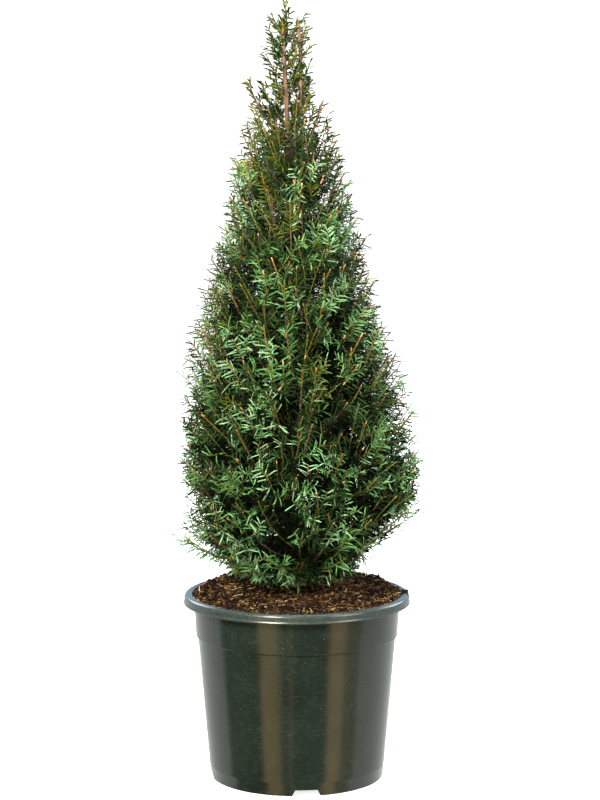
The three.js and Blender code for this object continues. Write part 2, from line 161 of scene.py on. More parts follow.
# Yew bark: pinkish brown, thin, and flaking in narrow upright plates that leave redder patches
barkLook = {
    "plateMm": 7,
    "stretch": 0.22,
    "grainMm": 1.1,
    "grainShare": 0.35,
    "reliefMm": 0.5,
    "roughness": 0.78,
    "sheen": 0.2,
    "stops": [(0.28, "#3b2c25"), (0.45, "#6a5140"), (0.6, "#8a6e58"), (0.78, "#a88d76")],
}


def makeBarkMaterial():
    values = {"Roughness": barkLook["roughness"], "Specular IOR Level": barkLook["sheen"]}
    material, tree, shader = newMaterial("yewBark", values)
    place = addNode(tree, "ShaderNodeTexCoord")
    stretch = {"Scale": (1, 1, barkLook["stretch"])}
    upright = addNode(tree, "ShaderNodeMapping", {}, stretch, {"Vector": (place, "Object")})
    onBark = {"Vector": (upright, "Vector")}
    plateScale = {"Scale": 1 / mm(barkLook["plateMm"]), "Detail": 6.0, "Roughness": 0.62}
    plates = addNode(tree, "ShaderNodeTexNoise", {}, plateScale, onBark)
    grain = addNode(tree, "ShaderNodeTexNoise", {}, {"Scale": 1 / mm(barkLook["grainMm"]), "Detail": 4.0}, onBark)
    ramp = addNode(tree, "ShaderNodeValToRGB", links={"Fac": (plates, "Fac")}, stops=barkLook["stops"])
    both = {0: (grain, "Fac"), 2: (plates, "Fac")}
    height = addNode(tree, "ShaderNodeMath", {"operation": "MULTIPLY_ADD"}, {1: barkLook["grainShare"]}, both)
    relief = {"Strength": 0.8, "Distance": mm(barkLook["reliefMm"])}
    bump = addNode(tree, "ShaderNodeBump", {}, relief, {"Height": (height, "Value")})
    tree.links.new(ramp.outputs["Color"], shader.inputs["Base Color"])
    tree.links.new(bump.outputs["Normal"], shader.inputs["Normal"])
    return material


# Nursery pot: injection moulded polypropylene, black green and smooth enough to mirror softly. Handling has
# rubbed it finely, and potting dust has settled on it in specks. The rim's extra haze is partly scuffing and
# partly a painted sheen of the sky.
potLook = {
    "body": [(0.35, "#131a14"), (0.65, "#1b241d")],
    "mottleMm": 60,
    "dust": "#8d7454",
    "speckMm": 5.5,
    # a speck's size as a share of its cell, the share of cells that stay clean, and how well a speck covers
    "speck": (0.1, 0.72, 0.55),
    # the haze colour: rubbing on the wall, and on the rim partly scuffing and partly a painted sheen
    "rub": "#5d665c",
    "rubMm": 9,
    "rubStretch": 2.6,
    "rubHaze": 0.19,
    "orangePeelMm": 2.4,
    "orangePeelReliefMm": 0.15,
    "ior": 1.5,
    "roughness": (0.11, 0.25),
    # the rim is scuffed by hands and stacking, and is painted lighter as a sheen of the sky: where that starts,
    # how much haze it adds, partly scuffing and partly painted sheen, and how much roughness it adds
    "scuffFrom": (246, 250),
    "scuffHaze": 0.17,
    "scuffRoughness": 0.1,
}


def makePotMaterial():
    material, tree, shader = newMaterial("blackGreenPolypropylene", {"IOR": potLook["ior"]})
    place = addNode(tree, "ShaderNodeTexCoord")
    onPot = {"Vector": (place, "Object")}
    mottle = addNode(tree, "ShaderNodeTexNoise", {}, {"Scale": 1 / mm(potLook["mottleMm"]), "Detail": 3.0}, onPot)
    body = addNode(tree, "ShaderNodeValToRGB", links={"Fac": (mottle, "Fac")}, stops=potLook["body"])

    # dust: one small dot in each Voronoi cell, kept in some cells only
    size, clean, strength = potLook["speck"]
    specks = addNode(tree, "ShaderNodeTexVoronoi", {}, {"Scale": 1 / mm(potLook["speckMm"])}, onPot)
    dot = addNode(tree, "ShaderNodeMath", {"operation": "LESS_THAN"}, {1: size}, {0: (specks, "Distance")})
    split = addNode(tree, "ShaderNodeSeparateColor", links={"Color": (specks, "Color")})
    few = addNode(tree, "ShaderNodeMath", {"operation": "GREATER_THAN"}, {1: clean}, {0: (split, "Red")})
    dusty = addNode(tree, "ShaderNodeMath", {"operation": "MULTIPLY"}, {}, {0: (dot, 0), 1: (few, 0)})
    faint = addNode(tree, "ShaderNodeMath", {"operation": "MULTIPLY"}, {1: strength}, {0: (dusty, 0)})

    # rubbing: a fine cloudy haze, drawn out round the wall, and thicker on the rim, where the extra haze is partly
    # scuffing and partly a painted sheen
    around = addNode(tree, "ShaderNodeMapping", {}, {"Scale": (1, 1, potLook["rubStretch"])}, onPot)
    cloudy = {"Scale": 1 / mm(potLook["rubMm"]), "Detail": 8.0, "Roughness": 0.7}
    haze = addNode(tree, "ShaderNodeTexNoise", {}, cloudy, {"Vector": (around, "Vector")})
    span = {"From Min": 0.5, "From Max": 0.85, "To Min": 0.0, "To Max": potLook["rubHaze"]}
    rubbed = addNode(tree, "ShaderNodeMapRange", {}, span, {"Value": (haze, "Fac")})
    height = addNode(tree, "ShaderNodeSeparateXYZ", links=onPot)
    low, high = (mm(level) for level in potLook["scuffFrom"])
    onRim = addNode(tree, "ShaderNodeMapRange", {}, {"From Min": low, "From Max": high}, {"Value": (height, "Z")})

    def scuffed(amount, below):
        # a value as it is on the wall, with the rim's scuffing added; for the colour that addition is also a painted
        # sheen
        factors = {0: (onRim, "Result"), 2: (below, "Result")}
        return addNode(tree, "ShaderNodeMath", {"operation": "MULTIPLY_ADD"}, {1: potLook[amount]}, factors)

    colour = (body, "Color")
    for cover, hexText in ((scuffed("scuffHaze", rubbed), potLook["rub"]), (faint, potLook["dust"])):
        second = {7: linearColour(hexText)}
        mix = addNode(tree, "ShaderNodeMix", {"data_type": "RGBA"}, second, {0: (cover, "Value"), 6: colour})
        colour = (mix, 2)
    smooth, rough = potLook["roughness"]
    span = {"From Min": 0.3, "From Max": 0.8, "To Min": smooth, "To Max": rough}
    gloss = addNode(tree, "ShaderNodeMapRange", {}, span, {"Value": (haze, "Fac")})
    roughness = scuffed("scuffRoughness", gloss)
    peel = addNode(tree, "ShaderNodeTexNoise", {}, {"Scale": 1 / mm(potLook["orangePeelMm"]), "Detail": 2.0}, onPot)
    relief = {"Strength": 0.12, "Distance": mm(potLook["orangePeelReliefMm"])}
    bump = addNode(tree, "ShaderNodeBump", {}, relief, {"Height": (peel, "Fac")})
    tree.links.new(mix.outputs[2], shader.inputs["Base Color"])
    tree.links.new(roughness.outputs["Value"], shader.inputs["Roughness"])
    tree.links.new(bump.outputs["Normal"], shader.inputs["Normal"])
    return material


# Potting compost: dark crumbly peat with coir fibre and a little straw and bark
soilTones = {
    "peat": ("#0a0705", "#1c130c"),
    "darkCoir": ("#22170d", "#3f2b17"),
    "coir": ("#5c4226", "#84613a"),
    "paleCoir": ("#a07f50", "#c6a878"),
    "straw": ("#d6c6a0", "#f0e6cc"),
}
soilLook = {"grainMm": 3, "detail": 5.0, "spread": 0.14, "reliefMm": 1.2, "roughness": 0.93, "sheen": 0.1}


def makeSoilMaterials():
    made = []
    values = {"Roughness": soilLook["roughness"], "Specular IOR Level": soilLook["sheen"]}
    look = soilLook["spread"], soilLook["grainMm"], soilLook["detail"]
    relief = {"Strength": 0.7, "Distance": mm(soilLook["reliefMm"])}
    for name, tones in soilTones.items():
        material, tree, shader, grain = grainedMaterial(name, values, tones, *look)
        bump = addNode(tree, "ShaderNodeBump", {}, relief, {"Height": (grain, "Fac")})
        tree.links.new(bump.outputs["Normal"], shader.inputs["Normal"])
        made.append(material)
    return made


def selectCorners(solid, wanted):
    bpy.context.view_layer.objects.active = solid
    bpy.ops.object.mode_set(mode="EDIT")
    bpy.ops.mesh.select_mode(type="VERT")
    bpy.ops.mesh.select_all(action="DESELECT")
    shape = bmesh.from_edit_mesh(solid.data)
    for corner in shape.verts:
        corner.select = wanted(corner.co)
    shape.select_flush(True)
    bmesh.update_edit_mesh(solid.data)


def ringSolid(name, rings, sides):
    # a closed solid, extruded from a disc through rings of (centre, radius) from its foot to its top
    centre, radius = rings[0]
    bpy.ops.mesh.primitive_circle_add(vertices=sides, radius=mm(radius), fill_type="NGON", location=mmPoint(centre))
    solid = bpy.context.active_object
    solid.name = name
    bpy.ops.object.transform_apply(location=True)
    bpy.ops.object.mode_set(mode="EDIT")
    for nextCentre, nextRadius in rings[1:]:
        step = mmPoint(nextCentre) - mmPoint(centre)
        bpy.ops.mesh.extrude_region_move(TRANSFORM_OT_translate={"value": step})
        grow = nextRadius / radius
        bpy.ops.transform.resize(value=(grow, grow, 1), center_override=mmPoint(nextCentre))
        centre, radius = nextCentre, nextRadius
    bpy.ops.mesh.select_all(action="SELECT")
    bpy.ops.mesh.normals_make_consistent(inside=False)
    bpy.ops.object.mode_set(mode="OBJECT")
    bpy.ops.object.select_all(action="DESELECT")
    return solid


def onAxis(profile):
    return [((0, 0, height), radius) for radius, height in profile]


def cutFrom(solid, cutter):
    # a Boolean that is applied, after which the cutter is gone
    cut = solid.modifiers.new("cut", "BOOLEAN")
    cut.operation = "DIFFERENCE"
    cut.solver = "EXACT"
    cut.object = cutter
    bpy.context.view_layer.objects.active = solid
    bpy.ops.object.modifier_apply(modifier=cut.name)
    bpy.data.objects.remove(cutter)


def smoothByAngle(piece, angle):
    bpy.ops.object.select_all(action="DESELECT")
    piece.select_set(True)
    bpy.context.view_layer.objects.active = piece
    bpy.ops.object.shade_smooth_by_angle(angle=math.radians(angle))
    piece.select_set(False)


def roughen(piece, heightAt):
    # moves every corner along its normal by a height in metres
    mesh = piece.data
    normals = [corner.normal.copy() for corner in mesh.vertices]
    for corner, normal in zip(mesh.vertices, normals):
        corner.co += normal * heightAt(corner.co)
    mesh.update()


def meshPiece(name, corners, triangles, slots, materials):
    # one joined mesh from arrays: corners in millimetres, triangles, and each triangle's material slot
    mesh = bpy.data.meshes.new(name)
    mesh.vertices.add(len(corners))
    mesh.vertices.foreach_set("co", np.ascontiguousarray(mm(corners), dtype=np.float32).ravel())
    mesh.loops.add(3 * len(triangles))
    mesh.loops.foreach_set("vertex_index", np.ascontiguousarray(triangles, dtype=np.int32).ravel())
    mesh.polygons.add(len(triangles))
    mesh.polygons.foreach_set("loop_start", np.arange(0, 3 * len(triangles), 3, dtype=np.int32))
    for material in materials:
        mesh.materials.append(material)
    mesh.polygons.foreach_set("material_index", np.ascontiguousarray(slots, dtype=np.int32))
    mesh.update(calc_edges=True)
    mesh.validate()
    piece = bpy.data.objects.new(name, mesh)
    bpy.context.scene.collection.objects.link(piece)
    return piece


def onBezier(paths, shares):
    # points of quadratic curves, paths as (n, 3 controls, 3) and shares as (n, k)
    s = shares[..., None]
    a, b, c = paths[:, None, 0], paths[:, None, 1], paths[:, None, 2]
    return (1 - s) ** 2 * a + 2 * s * (1 - s) * b + s**2 * c


def alongBezier(paths, shares):
    # unit tangents of the same curves
    s = shares[..., None]
    a, b, c = paths[:, None, 0], paths[:, None, 1], paths[:, None, 2]
    return unit((1 - s) * (b - a) + s * (c - b))


def tubes(paths, startRadius, endRadius, shares, sides, rng):
    # closed tubes along quadratic curves. Triangles come tube by tube, the end cap's last.
    count, rings = len(paths), len(shares)
    at = np.tile(np.array(shares), (count, 1))
    points = onBezier(paths, at)
    along = alongBezier(paths, at)
    reference = np.array([0.36, 0.91, 0.2])
    side = unit(np.cross(reference, along))
    face = np.cross(along, side)
    radii = lerp(startRadius[:, None], endRadius[:, None], at) * rng.uniform(0.88, 1.12, (count, rings))
    turns = np.arange(sides) * 2 * math.pi / sides
    ring = np.cos(turns)[:, None] * side[:, :, None] + np.sin(turns)[:, None] * face[:, :, None]
    corners = points[:, :, None] + radii[:, :, None, None] * ring
    quads = []
    for r in range(rings - 1):
        for k in range(sides):
            a, b = r * sides + k, r * sides + (k + 1) % sides
            quads += [(a, b, b + sides), (a, b + sides, a + sides)]
    last = (rings - 1) * sides
    caps = [(0, k + 1, k) for k in range(1, sides - 1)]
    caps += [(last, last + k, last + k + 1) for k in range(1, sides - 1)]
    one = np.array(quads + caps)
    triangles = one[None] + (np.arange(count) * rings * sides)[:, None, None]
    return corners.reshape(-1, 3), triangles, 2 * sides, sides - 2


pot = {
    "sides": 144,
    "height": 262.7,
    "rimRadius": 160,
    "rimDepth": 14,
    "crestRadius": 153.2,
    "mouthRadius": 148.5,
    "wallTopRadius": 145.5,
    "shoulderHeight": 202,
    "shoulderStep": 2.8,
    "wallShoulderRadius": 142.6,
    "footRadius": 122.4,
    "footChamfer": 2.2,
    # a band at the foot: how high it is and how far it steps in
    "footBand": (17, 0.5),
    "wall": 2.6,
    "channels": 4,
    "channelTurn": -83.7,
    "channelFoot": 41,
    "channelRoof": 31,
    "channelHeight": 9,
    "channelInner": 84,
    "channelOverrun": 20,
    "drainRadius": 6,
    "drainRing": 103,
}


def wallRadius(height):
    slope = (pot["wallShoulderRadius"] - pot["shoulderStep"] - pot["footRadius"]) / pot["shoulderHeight"]
    return pot["footRadius"] + slope * height


def arc(centre, radius, start, end, steps):
    # points of an arc as (radius, height), from one angle to another
    angles = [math.radians(lerp(start, end, k / steps)) for k in range(steps + 1)]
    return [(centre[0] + radius * math.cos(a), centre[1] + radius * math.sin(a)) for a in angles]


def potOutside():
    lip = pot["height"] - pot["rimDepth"]
    bandHeight, bandStep = pot["footBand"]
    shoulder = pot["shoulderHeight"]
    chamfer = pot["footChamfer"]
    foot = [
        (pot["footRadius"] - chamfer, 0),
        (wallRadius(chamfer) - bandStep - 0.6, 0.7),
        (wallRadius(chamfer) - bandStep, chamfer),
    ]
    wall = [
        (wallRadius(bandHeight) - bandStep, bandHeight),
        (wallRadius(bandHeight) - 0.1, bandHeight + 0.8),
        (wallRadius(bandHeight), bandHeight + 1.8),
        (wallRadius(shoulder * 0.4), shoulder * 0.4),
        (wallRadius(shoulder * 0.75), shoulder * 0.75),
        (wallRadius(shoulder - 2.5), shoulder - 2.5),
        (wallRadius(shoulder), shoulder - 0.8),
    ]
    ledge = arc((pot["wallShoulderRadius"] - 1.6, shoulder + 1.8), 1.6, -75, 0, 4)
    neck = [
        (pot["wallTopRadius"] - 1, lip - 10),
        (pot["wallTopRadius"] - 0.2, lip - 1.8),
        (pot["wallTopRadius"] + 1.2, lip - 0.2),
        (pot["wallTopRadius"] + 4, lip + 0.4),
        (pot["rimRadius"] - 3.4, lip + 0.1),
    ]
    bead = arc((pot["rimRadius"] - 1.5, lip + 1.5), 1.5, -100, 50, 6)
    roll = [(pot["rimRadius"] - 0.9, lip + 3.8), (pot["rimRadius"] - 1.0, lip + 5.6)]
    crest = arc((pot["crestRadius"], lip + 8.0), 6.0, 5, 128, 11)
    return [*foot, *wall, *ledge, *neck, *bead, *roll, *crest]


def potInside(floor, top):
    wall = pot["wall"]
    lip = pot["height"] - pot["rimDepth"]
    return [
        (wallRadius(floor) - wall, floor),
        (wallRadius(pot["shoulderHeight"]) - wall, pot["shoulderHeight"]),
        (pot["wallShoulderRadius"] - wall, pot["shoulderHeight"] + 2 * wall),
        (pot["wallTopRadius"] - wall, lip),
        (pot["mouthRadius"] - 0.6, top - 2.5),
        (pot["mouthRadius"] + 0.4, top + 6),
    ]


def potInner(height):
    # radius of the inside of the wall, above the shoulder
    neckHeight, neckRadius = pot["height"] - pot["rimDepth"], pot["wallTopRadius"] - pot["wall"]
    shoulderHeight = pot["shoulderHeight"] + 2 * pot["wall"]
    shoulderRadius = pot["wallShoulderRadius"] - pot["wall"]
    return lerp(shoulderRadius, neckRadius, (height - shoulderHeight) / (neckHeight - shoulderHeight))


def channelTurns():
    return [math.radians(pot["channelTurn"] + 360 * k / pot["channels"]) for k in range(pot["channels"])]


def channelBlock(turn, grow):
    # one drainage channel as a block with a narrower roof, grown all round
    length = pot["footRadius"] + pot["channelOverrun"] - pot["channelInner"] + grow
    height = pot["channelHeight"] + grow + 1
    foot, roof = pot["channelFoot"] + 2 * grow, pot["channelRoof"] + 2 * grow
    middle = (pot["channelInner"] - grow + length / 2, 0, height / 2 - 1)
    bpy.ops.mesh.primitive_cube_add(size=1, location=mmPoint(middle))
    block = bpy.context.active_object
    block.scale = mmPoint((length, foot, height))
    bpy.ops.object.transform_apply(location=True, scale=True)
    selectCorners(block, lambda corner: corner.z > 0)
    bpy.ops.transform.resize(value=(1, roof / foot, 1), center_override=mmPoint(middle))
    bpy.ops.object.mode_set(mode="OBJECT")
    block.rotation_euler.z = turn
    bpy.ops.object.transform_apply(rotation=True)
    bpy.ops.object.select_all(action="DESELECT")
    return block


def drainHole(turn):
    ring = pot["drainRing"]
    place = (ring * math.cos(turn), ring * math.sin(turn), pot["channelHeight"] + pot["wall"] / 2)
    bpy.ops.mesh.primitive_cylinder_add(
        vertices=24, radius=mm(pot["drainRadius"]), depth=mm(4 * pot["wall"]), location=mmPoint(place)
    )
    hole = bpy.context.active_object
    bpy.ops.object.transform_apply(location=True)
    bpy.ops.object.select_all(action="DESELECT")
    return hole


def makePot():
    shell = ringSolid("nurseryPot", onAxis(potOutside()), pot["sides"])
    hollow = ringSolid("hollow", onAxis(potInside(pot["wall"], pot["height"])), pot["sides"])
    for turn in channelTurns():
        cutFrom(hollow, channelBlock(turn, pot["wall"]))
    cutFrom(shell, hollow)
    for turn in channelTurns():
        cutFrom(shell, channelBlock(turn, 0))
        cutFrom(shell, drainHole(turn))
    smoothByAngle(shell, 28)
    shell.data.materials.clear()
    shell.data.materials.append(makePotMaterial())
    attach(shell, "root")
    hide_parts("pot")
    print("pot:", len(shell.data.polygons), "faces")


soil = {
    "edgeHeight": 257.5,
    "crownHeight": 271,
    "padRadius": 27,
    "slope": 1.6,
    "lump": 2.2,
    "lumps": ((1, 3, 0.06), (0.8, 7, -0.11)),
    # how much higher the soil lies at the back, between which radii that builds up, and where it falls off again
    "backHeap": 9,
    "backRise": (50, 110),
    "backFall": (134, 148),
    "radius": 146.4,
    "sideHeights": (228, 248),
    "rings": 64,
    "sides": 180,
    # clods and crumbs: the size of each and how far they stand up
    "roughMm": ((26, 3.4), (9, 3.2), (3.4, 1.6)),
    "fibres": 6400,
    "fibreLength": (4, 20),
    "fibreWidth": (0.28, 0.75),
    "fibreLift": (-0.8, 2.6),
    "fibreTilt": 0.22,
    "fibreBend": 0.16,
    "fibreTones": (0.5, 0.35, 0.13, 0.02),
    "crumbs": 6400,
    "crumbSize": (1.6, 8.5),
    "crumbTones": (0.66, 0.24, 0.1),
    # soil spilled onto the rim: its ring, bearing, width and length round the ring in radians, and how high it lies
    "spill": (153, 0.02, 9, 0.16),
    "spillHeight": 3.4,
    "spillSize": (1.2, 4.0),
    "spillCounts": ((90, (0.55, 0.3, 0.15)), (60, (0.4, 0.4, 0.2))),
    "seed": 31,
}


def between(value, limits):
    # how far a value has come from the first limit to the second, 0 to 1
    return clamp((value - limits[0]) / (limits[1] - limits[0]), 0, 1)


def soilHeight(radius, turn):
    share = max(0, (radius - soil["padRadius"]) / (pot["mouthRadius"] - soil["padRadius"]))
    heap = soil["crownHeight"] - (soil["crownHeight"] - soil["edgeHeight"]) * share ** soil["slope"]
    back = clamp(1.3 * math.sin(turn) + 0.25, 0, 1) * between(radius, soil["backRise"])
    heap += soil["backHeap"] * back * (1 - between(radius, soil["backFall"]) ** 2)
    # lumps fade out at the trunk's foot, and get lower towards the wall
    return heap + soil["lump"] * ripple(soil["lumps"], turn, radius) * min(1, 2.5 * share) * (1 - 0.6 * share)


def roughness(x, y):
    # in millimetres above the heap's smooth surface
    place = Vector((x, y, 0))
    return sum(depth * noise.noise(place / mm(size)) for size, depth in soil["roughMm"])


def makeMound(peat):
    # the heap's skin: rings of a disc, lifted to the soil's height and broken up by noise
    sides, rings = soil["sides"], soil["rings"]
    levels = [(potInner(height), height) for height in soil["sideHeights"]]
    levels.append((soil["radius"], soil["edgeHeight"]))
    levels += [(soil["radius"] * (1 - k / rings), soil["edgeHeight"]) for k in range(1, rings)]
    levels[-1] = (2, soil["edgeHeight"])
    mound = ringSolid("compost", onAxis(levels), sides)
    floor = mm(soil["edgeHeight"] - 1)
    for corner in mound.data.vertices:
        if corner.co.z < floor:
            continue
        radius = corner.co.xy.length * 1000
        turn = math.atan2(corner.co.y, corner.co.x)
        corner.co.z = mm(soilHeight(radius, turn))
        corner.co.z += mm(roughness(corner.co.x, corner.co.y))
    smoothByAngle(mound, 60)
    mound.data.materials.append(peat)
    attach(mound, "root")
    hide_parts("soil")


def spotsOnSoil(rng, count, reach):
    # places spread evenly over the heap
    radius = reach * np.sqrt(rng.uniform(0, 1, count))
    turn = rng.uniform(-math.pi, math.pi, count)
    x, y = radius * np.cos(turn), radius * np.sin(turn)
    height = [soilHeight(r, t) + roughness(mm(a), mm(b)) for r, t, a, b in zip(radius, turn, x, y)]
    return np.stack([x, y, height], axis=1)


def makeFibres(rng, materials):
    # short bent strands of coir that lie every way on the heap
    count = soil["fibres"]
    middle = spotsOnSoil(rng, count, soil["radius"] + 1)
    length = lerp(*soil["fibreLength"], rng.uniform(0, 1, count) ** 2.2)
    turn = rng.uniform(-math.pi, math.pi, count)
    tilt = rng.normal(0, soil["fibreTilt"], count)
    along = np.stack([np.cos(turn) * np.cos(tilt), np.sin(turn) * np.cos(tilt), np.sin(tilt)], axis=1)
    bend = rng.normal(0, soil["fibreBend"], (count, 3)) * length[:, None]
    bend[:, 2] = np.abs(bend[:, 2])
    half = along * length[:, None] / 2
    middle[:, 2] += rng.uniform(*soil["fibreLift"], count)
    paths = np.stack([middle - half, middle + bend, middle + half], axis=1)
    reach = np.linalg.norm(paths[:, :, :2], axis=2).max(axis=1)
    paths[..., :2] *= np.minimum(1, (soil["radius"] + 1.5) / reach)[:, None, None]
    width = rng.uniform(*soil["fibreWidth"], count)
    corners, triangles, _, _ = tubes(paths, width, 0.6 * width, (0, 0.5, 1), 3, rng)
    slot = rng.choice(4, count, p=soil["fibreTones"])
    return corners, triangles.reshape(-1, 3), np.repeat(slot, triangles.shape[1]), materials[1:]


def lumps(middle, size, rng):
    # small irregular lumps, each a squashed and turned octahedron
    count = len(middle)
    spikes = np.array([(1, 0, 0), (-1, 0, 0), (0, 1, 0), (0, -1, 0), (0, 0, 1), (0, 0, -1)], float)
    faces = np.array([(0, 2, 4), (2, 1, 4), (1, 3, 4), (3, 0, 4), (2, 0, 5), (1, 2, 5), (3, 1, 5), (0, 3, 5)])
    shape = spikes * rng.uniform(0.35, 1.0, (count, 6, 1)) + rng.normal(0, 0.12, (count, 6, 3))
    first = unit(rng.normal(0, 1, (count, 3)))
    second = unit(np.cross(first, rng.normal(0, 1, (count, 3))))
    turned = np.einsum("nij,nkj->nki", np.stack([first, second, np.cross(first, second)], axis=2), shape)
    corners = middle[:, None] + turned * size[:, None, None] * 0.5 + np.array([0, 0, 0.3]) * size[:, None, None]
    triangles = faces[None] + (np.arange(count) * 6)[:, None, None]
    return corners.reshape(-1, 3), triangles.reshape(-1, 3), len(faces)


def makeCrumbs(rng, materials):
    # lumps of peat and bark all over the heap
    count = soil["crumbs"]
    middle = spotsOnSoil(rng, count, soil["radius"] - 2)
    size = lerp(*soil["crumbSize"], rng.uniform(0, 1, count) ** 2.5)
    corners, triangles, faces = lumps(middle, size, rng)
    slot = rng.choice(3, count, p=soil["crumbTones"])
    return corners, triangles, np.repeat(slot, faces), materials[:3]


def makeSpill(rng, materials):
    # a few crumbs and fibres that lie on the rim at one side
    lip = pot["height"] - 1.2
    across, middle, width, length = soil["spill"]
    parts, offset = [], 0
    for count, slots in soil["spillCounts"]:
        radius = rng.normal(across, 0.28 * width, count).clip(across - 6, across + 4)
        turn = rng.normal(middle, 0.3 * length, count)
        heap = soil["spillHeight"] * np.exp(-(((turn - middle) / (0.3 * length)) ** 2)) * rng.uniform(0, 1, count)
        place = np.stack([radius * np.cos(turn), radius * np.sin(turn), lip + heap], axis=1)
        if not parts:
            corners, triangles, faces = lumps(place, rng.uniform(*soil["spillSize"], count), rng)
        else:
            heading = unit(rng.normal(0, 1, (count, 3)) * (1, 1, 0.3)) * rng.uniform(1.5, 4, (count, 1))
            paths = np.stack([place - heading, place + rng.normal(0, 0.6, (count, 3)), place + heading], axis=1)
            widths = rng.uniform(0.25, 0.5, count)
            corners, triangles, _, _ = tubes(paths, widths, 0.6 * widths, (0, 0.5, 1), 3, rng)
            faces = triangles.shape[1]
        slot = np.repeat(rng.choice(3, count, p=slots), faces)
        parts.append((corners, triangles.reshape(-1, 3) + offset, slot))
        offset += len(corners)
    return *(np.concatenate([part[k] for part in parts]) for k in range(3)), materials[:3]


def makeSoil():
    materials = makeSoilMaterials()
    rng = np.random.default_rng(soil["seed"])
    makeMound(materials[0])
    for name, parts in (("coirFibres", makeFibres), ("peatCrumbs", makeCrumbs), ("spilledPeat", makeSpill)):
        piece = meshPiece(name, *parts(rng, materials))
        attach(piece, "root")
        print(name + ":", len(piece.data.polygons), "triangles")


# The tree's rule down to sideBranch() is the one that the solids follow
trunk = {
    "foot": 271.3,
    "tip": 1046,
    "baseRadius": 13,
    "tipRadius": 2,
    "flareRadius": 8,
    "flareHeight": 16,
    # how far the root flare's lobes stand out, how many there are, and their bearing in radians
    "flareLobe": (0.35, 4, 0.6),
    "lean": (-19, 3),
    "sway": (-1.8, 3),
    "sides": 28,
    "ringStep": 8,
    # close rings over the root flare: how many and how far apart
    "flareRings": (14, 1.5),
    # the bark's upright plates: how deep at the foot and at the top, how far up they get shallower, and their size
    "plateDepth": (0.9, 0.25),
    "plateFade": 600,
    "plateMm": 5,
    "plateStretch": 0.2,
}
crown = {
    "top": 1090,
    "waist": 400,
    "foot": 270,
    "radius": 177,
    "belly": 0.7,
    "tipRadius": 26,
    "clear": 283,
    "waves": ((0.03, 5, -0.023), (-0.035, 3, 0.011)),
    # how the crown rounds off below its waist
    "rounding": (2.2, 0.65),
}
# A tier's upper border is the cone z = rise + slope * r and "turn" is its first bough's bearing. "limb" is a
# bough's radius at the trunk, "stray" is how far growth may leave the crown, and "seed" starts each mass's random
# numbers.
tiers = [
    {"name": "skirt", "masses": 5, "turn": -72, "rise": 305, "slope": 0.75, "limb": 4.6, "stray": 8, "seed": 4},
    {"name": "lower", "masses": 5, "turn": -36, "rise": 390, "slope": 0.95, "limb": 4.6, "stray": 8, "seed": 4},
    {"name": "waist", "masses": 4, "turn": -84, "rise": 490, "slope": 1.15, "limb": 4.2, "stray": 8, "seed": 4},
    {"name": "middle", "masses": 4, "turn": -5, "rise": 600, "slope": 1.35, "limb": 3.8, "stray": 8, "seed": 16},
    {"name": "upper", "masses": 3, "turn": -90, "rise": 730, "slope": 1.55, "limb": 3.4, "stray": 10, "seed": 2},
    {"name": "neck", "masses": 2, "turn": -30, "rise": 850, "slope": 1.75, "limb": 3.0, "stray": 12, "seed": 2},
    {"name": "crest", "masses": 2, "turn": 0, "rise": 1040, "slope": 0.8, "limb": 2.8, "stray": 18, "seed": 8},
    {"name": "leader", "masses": 1, "turn": 0, "rise": math.inf, "slope": 0, "limb": 0, "stray": 0, "seed": 4},
]
crestLevel, leaderLevel = 6, 7
# The second leader and the lone shoot: how far out each reaches, where it starts and ends, and how fast it spreads
crestShoots = [
    {"reach": 22, "fork": 876, "aim": 1062, "hug": 4},
    {"reach": 50, "fork": 886, "aim": 978, "hug": 1.5},
]
# How high in its tier a limb leaves the trunk and how high it aims, how far inside the crown's face it ends, how
# much it curves up, and how far along it its bough and its stem end.
limbs = {"fork": 0.4, "aim": 0.62, "aimInset": 2, "bend": 0.45, "bough": 0.34, "stem": 0.62}
# "steps" spread the sprays evenly over a mass's face
sprays = {"length": 72, "lift": 66, "lean": 7, "steps": (0.7548776662, 0.569840291)}


def seededRandom(seed):
    state = (seed * 2654435761) % 4294967296

    def draw():
        nonlocal state
        state = (1664525 * state + 1013904223) % 4294967296
        return state / 4294967296

    return draw


def axisAt(height):
    share = clamp((height - trunk["foot"]) / (trunk["tip"] - trunk["foot"]), 0, 1.1)
    return np.array(
        [
            trunk["lean"][0] * share**1.6 + trunk["sway"][0] * math.sin(2 * math.pi * share),
            trunk["lean"][1] * share + trunk["sway"][1] * math.sin(math.pi * share),
            height,
        ]
    )


def trunkRadius(height):
    share = (height - trunk["foot"]) / (trunk["tip"] - trunk["foot"])
    return lerp(trunk["baseRadius"], trunk["tipRadius"], clamp(share, 0, 1))


def crownRadiusAt(height, bearing):
    if height >= crown["top"]:
        return 0
    waves = ripple(crown["waves"], bearing, height)
    if height >= crown["waist"]:
        share = (1 - (height - crown["waist"]) / (crown["top"] - crown["waist"])) ** crown["belly"]
        return max(crown["radius"] * share * (1 + waves), crown["tipRadius"])
    drop = min(1, (crown["waist"] - height) / (crown["waist"] - crown["foot"]))
    first, second = crown["rounding"]
    return crown["radius"] * (1 - drop**first) ** second * (1 + waves)


def pointAt(bearing, radius, height):
    return axisAt(height) + np.array([radius * math.cos(bearing), radius * math.sin(bearing), 0])


def radiusOf(point):
    axis = axisAt(point[2])
    return math.hypot(point[0] - axis[0], point[1] - axis[1])


def bearingOf(point):
    axis = axisAt(point[2])
    return math.atan2(point[1] - axis[1], point[0] - axis[0])


def tierFloor(level, radius):
    return crown["clear"] if level == 0 else tierCeiling(level - 1, radius)


def tierCeiling(level, radius):
    return tiers[level]["rise"] + tiers[level]["slope"] * radius


def heightIn(level, radius, rise):
    return lerp(tierFloor(level, radius), tierCeiling(level, radius), rise)


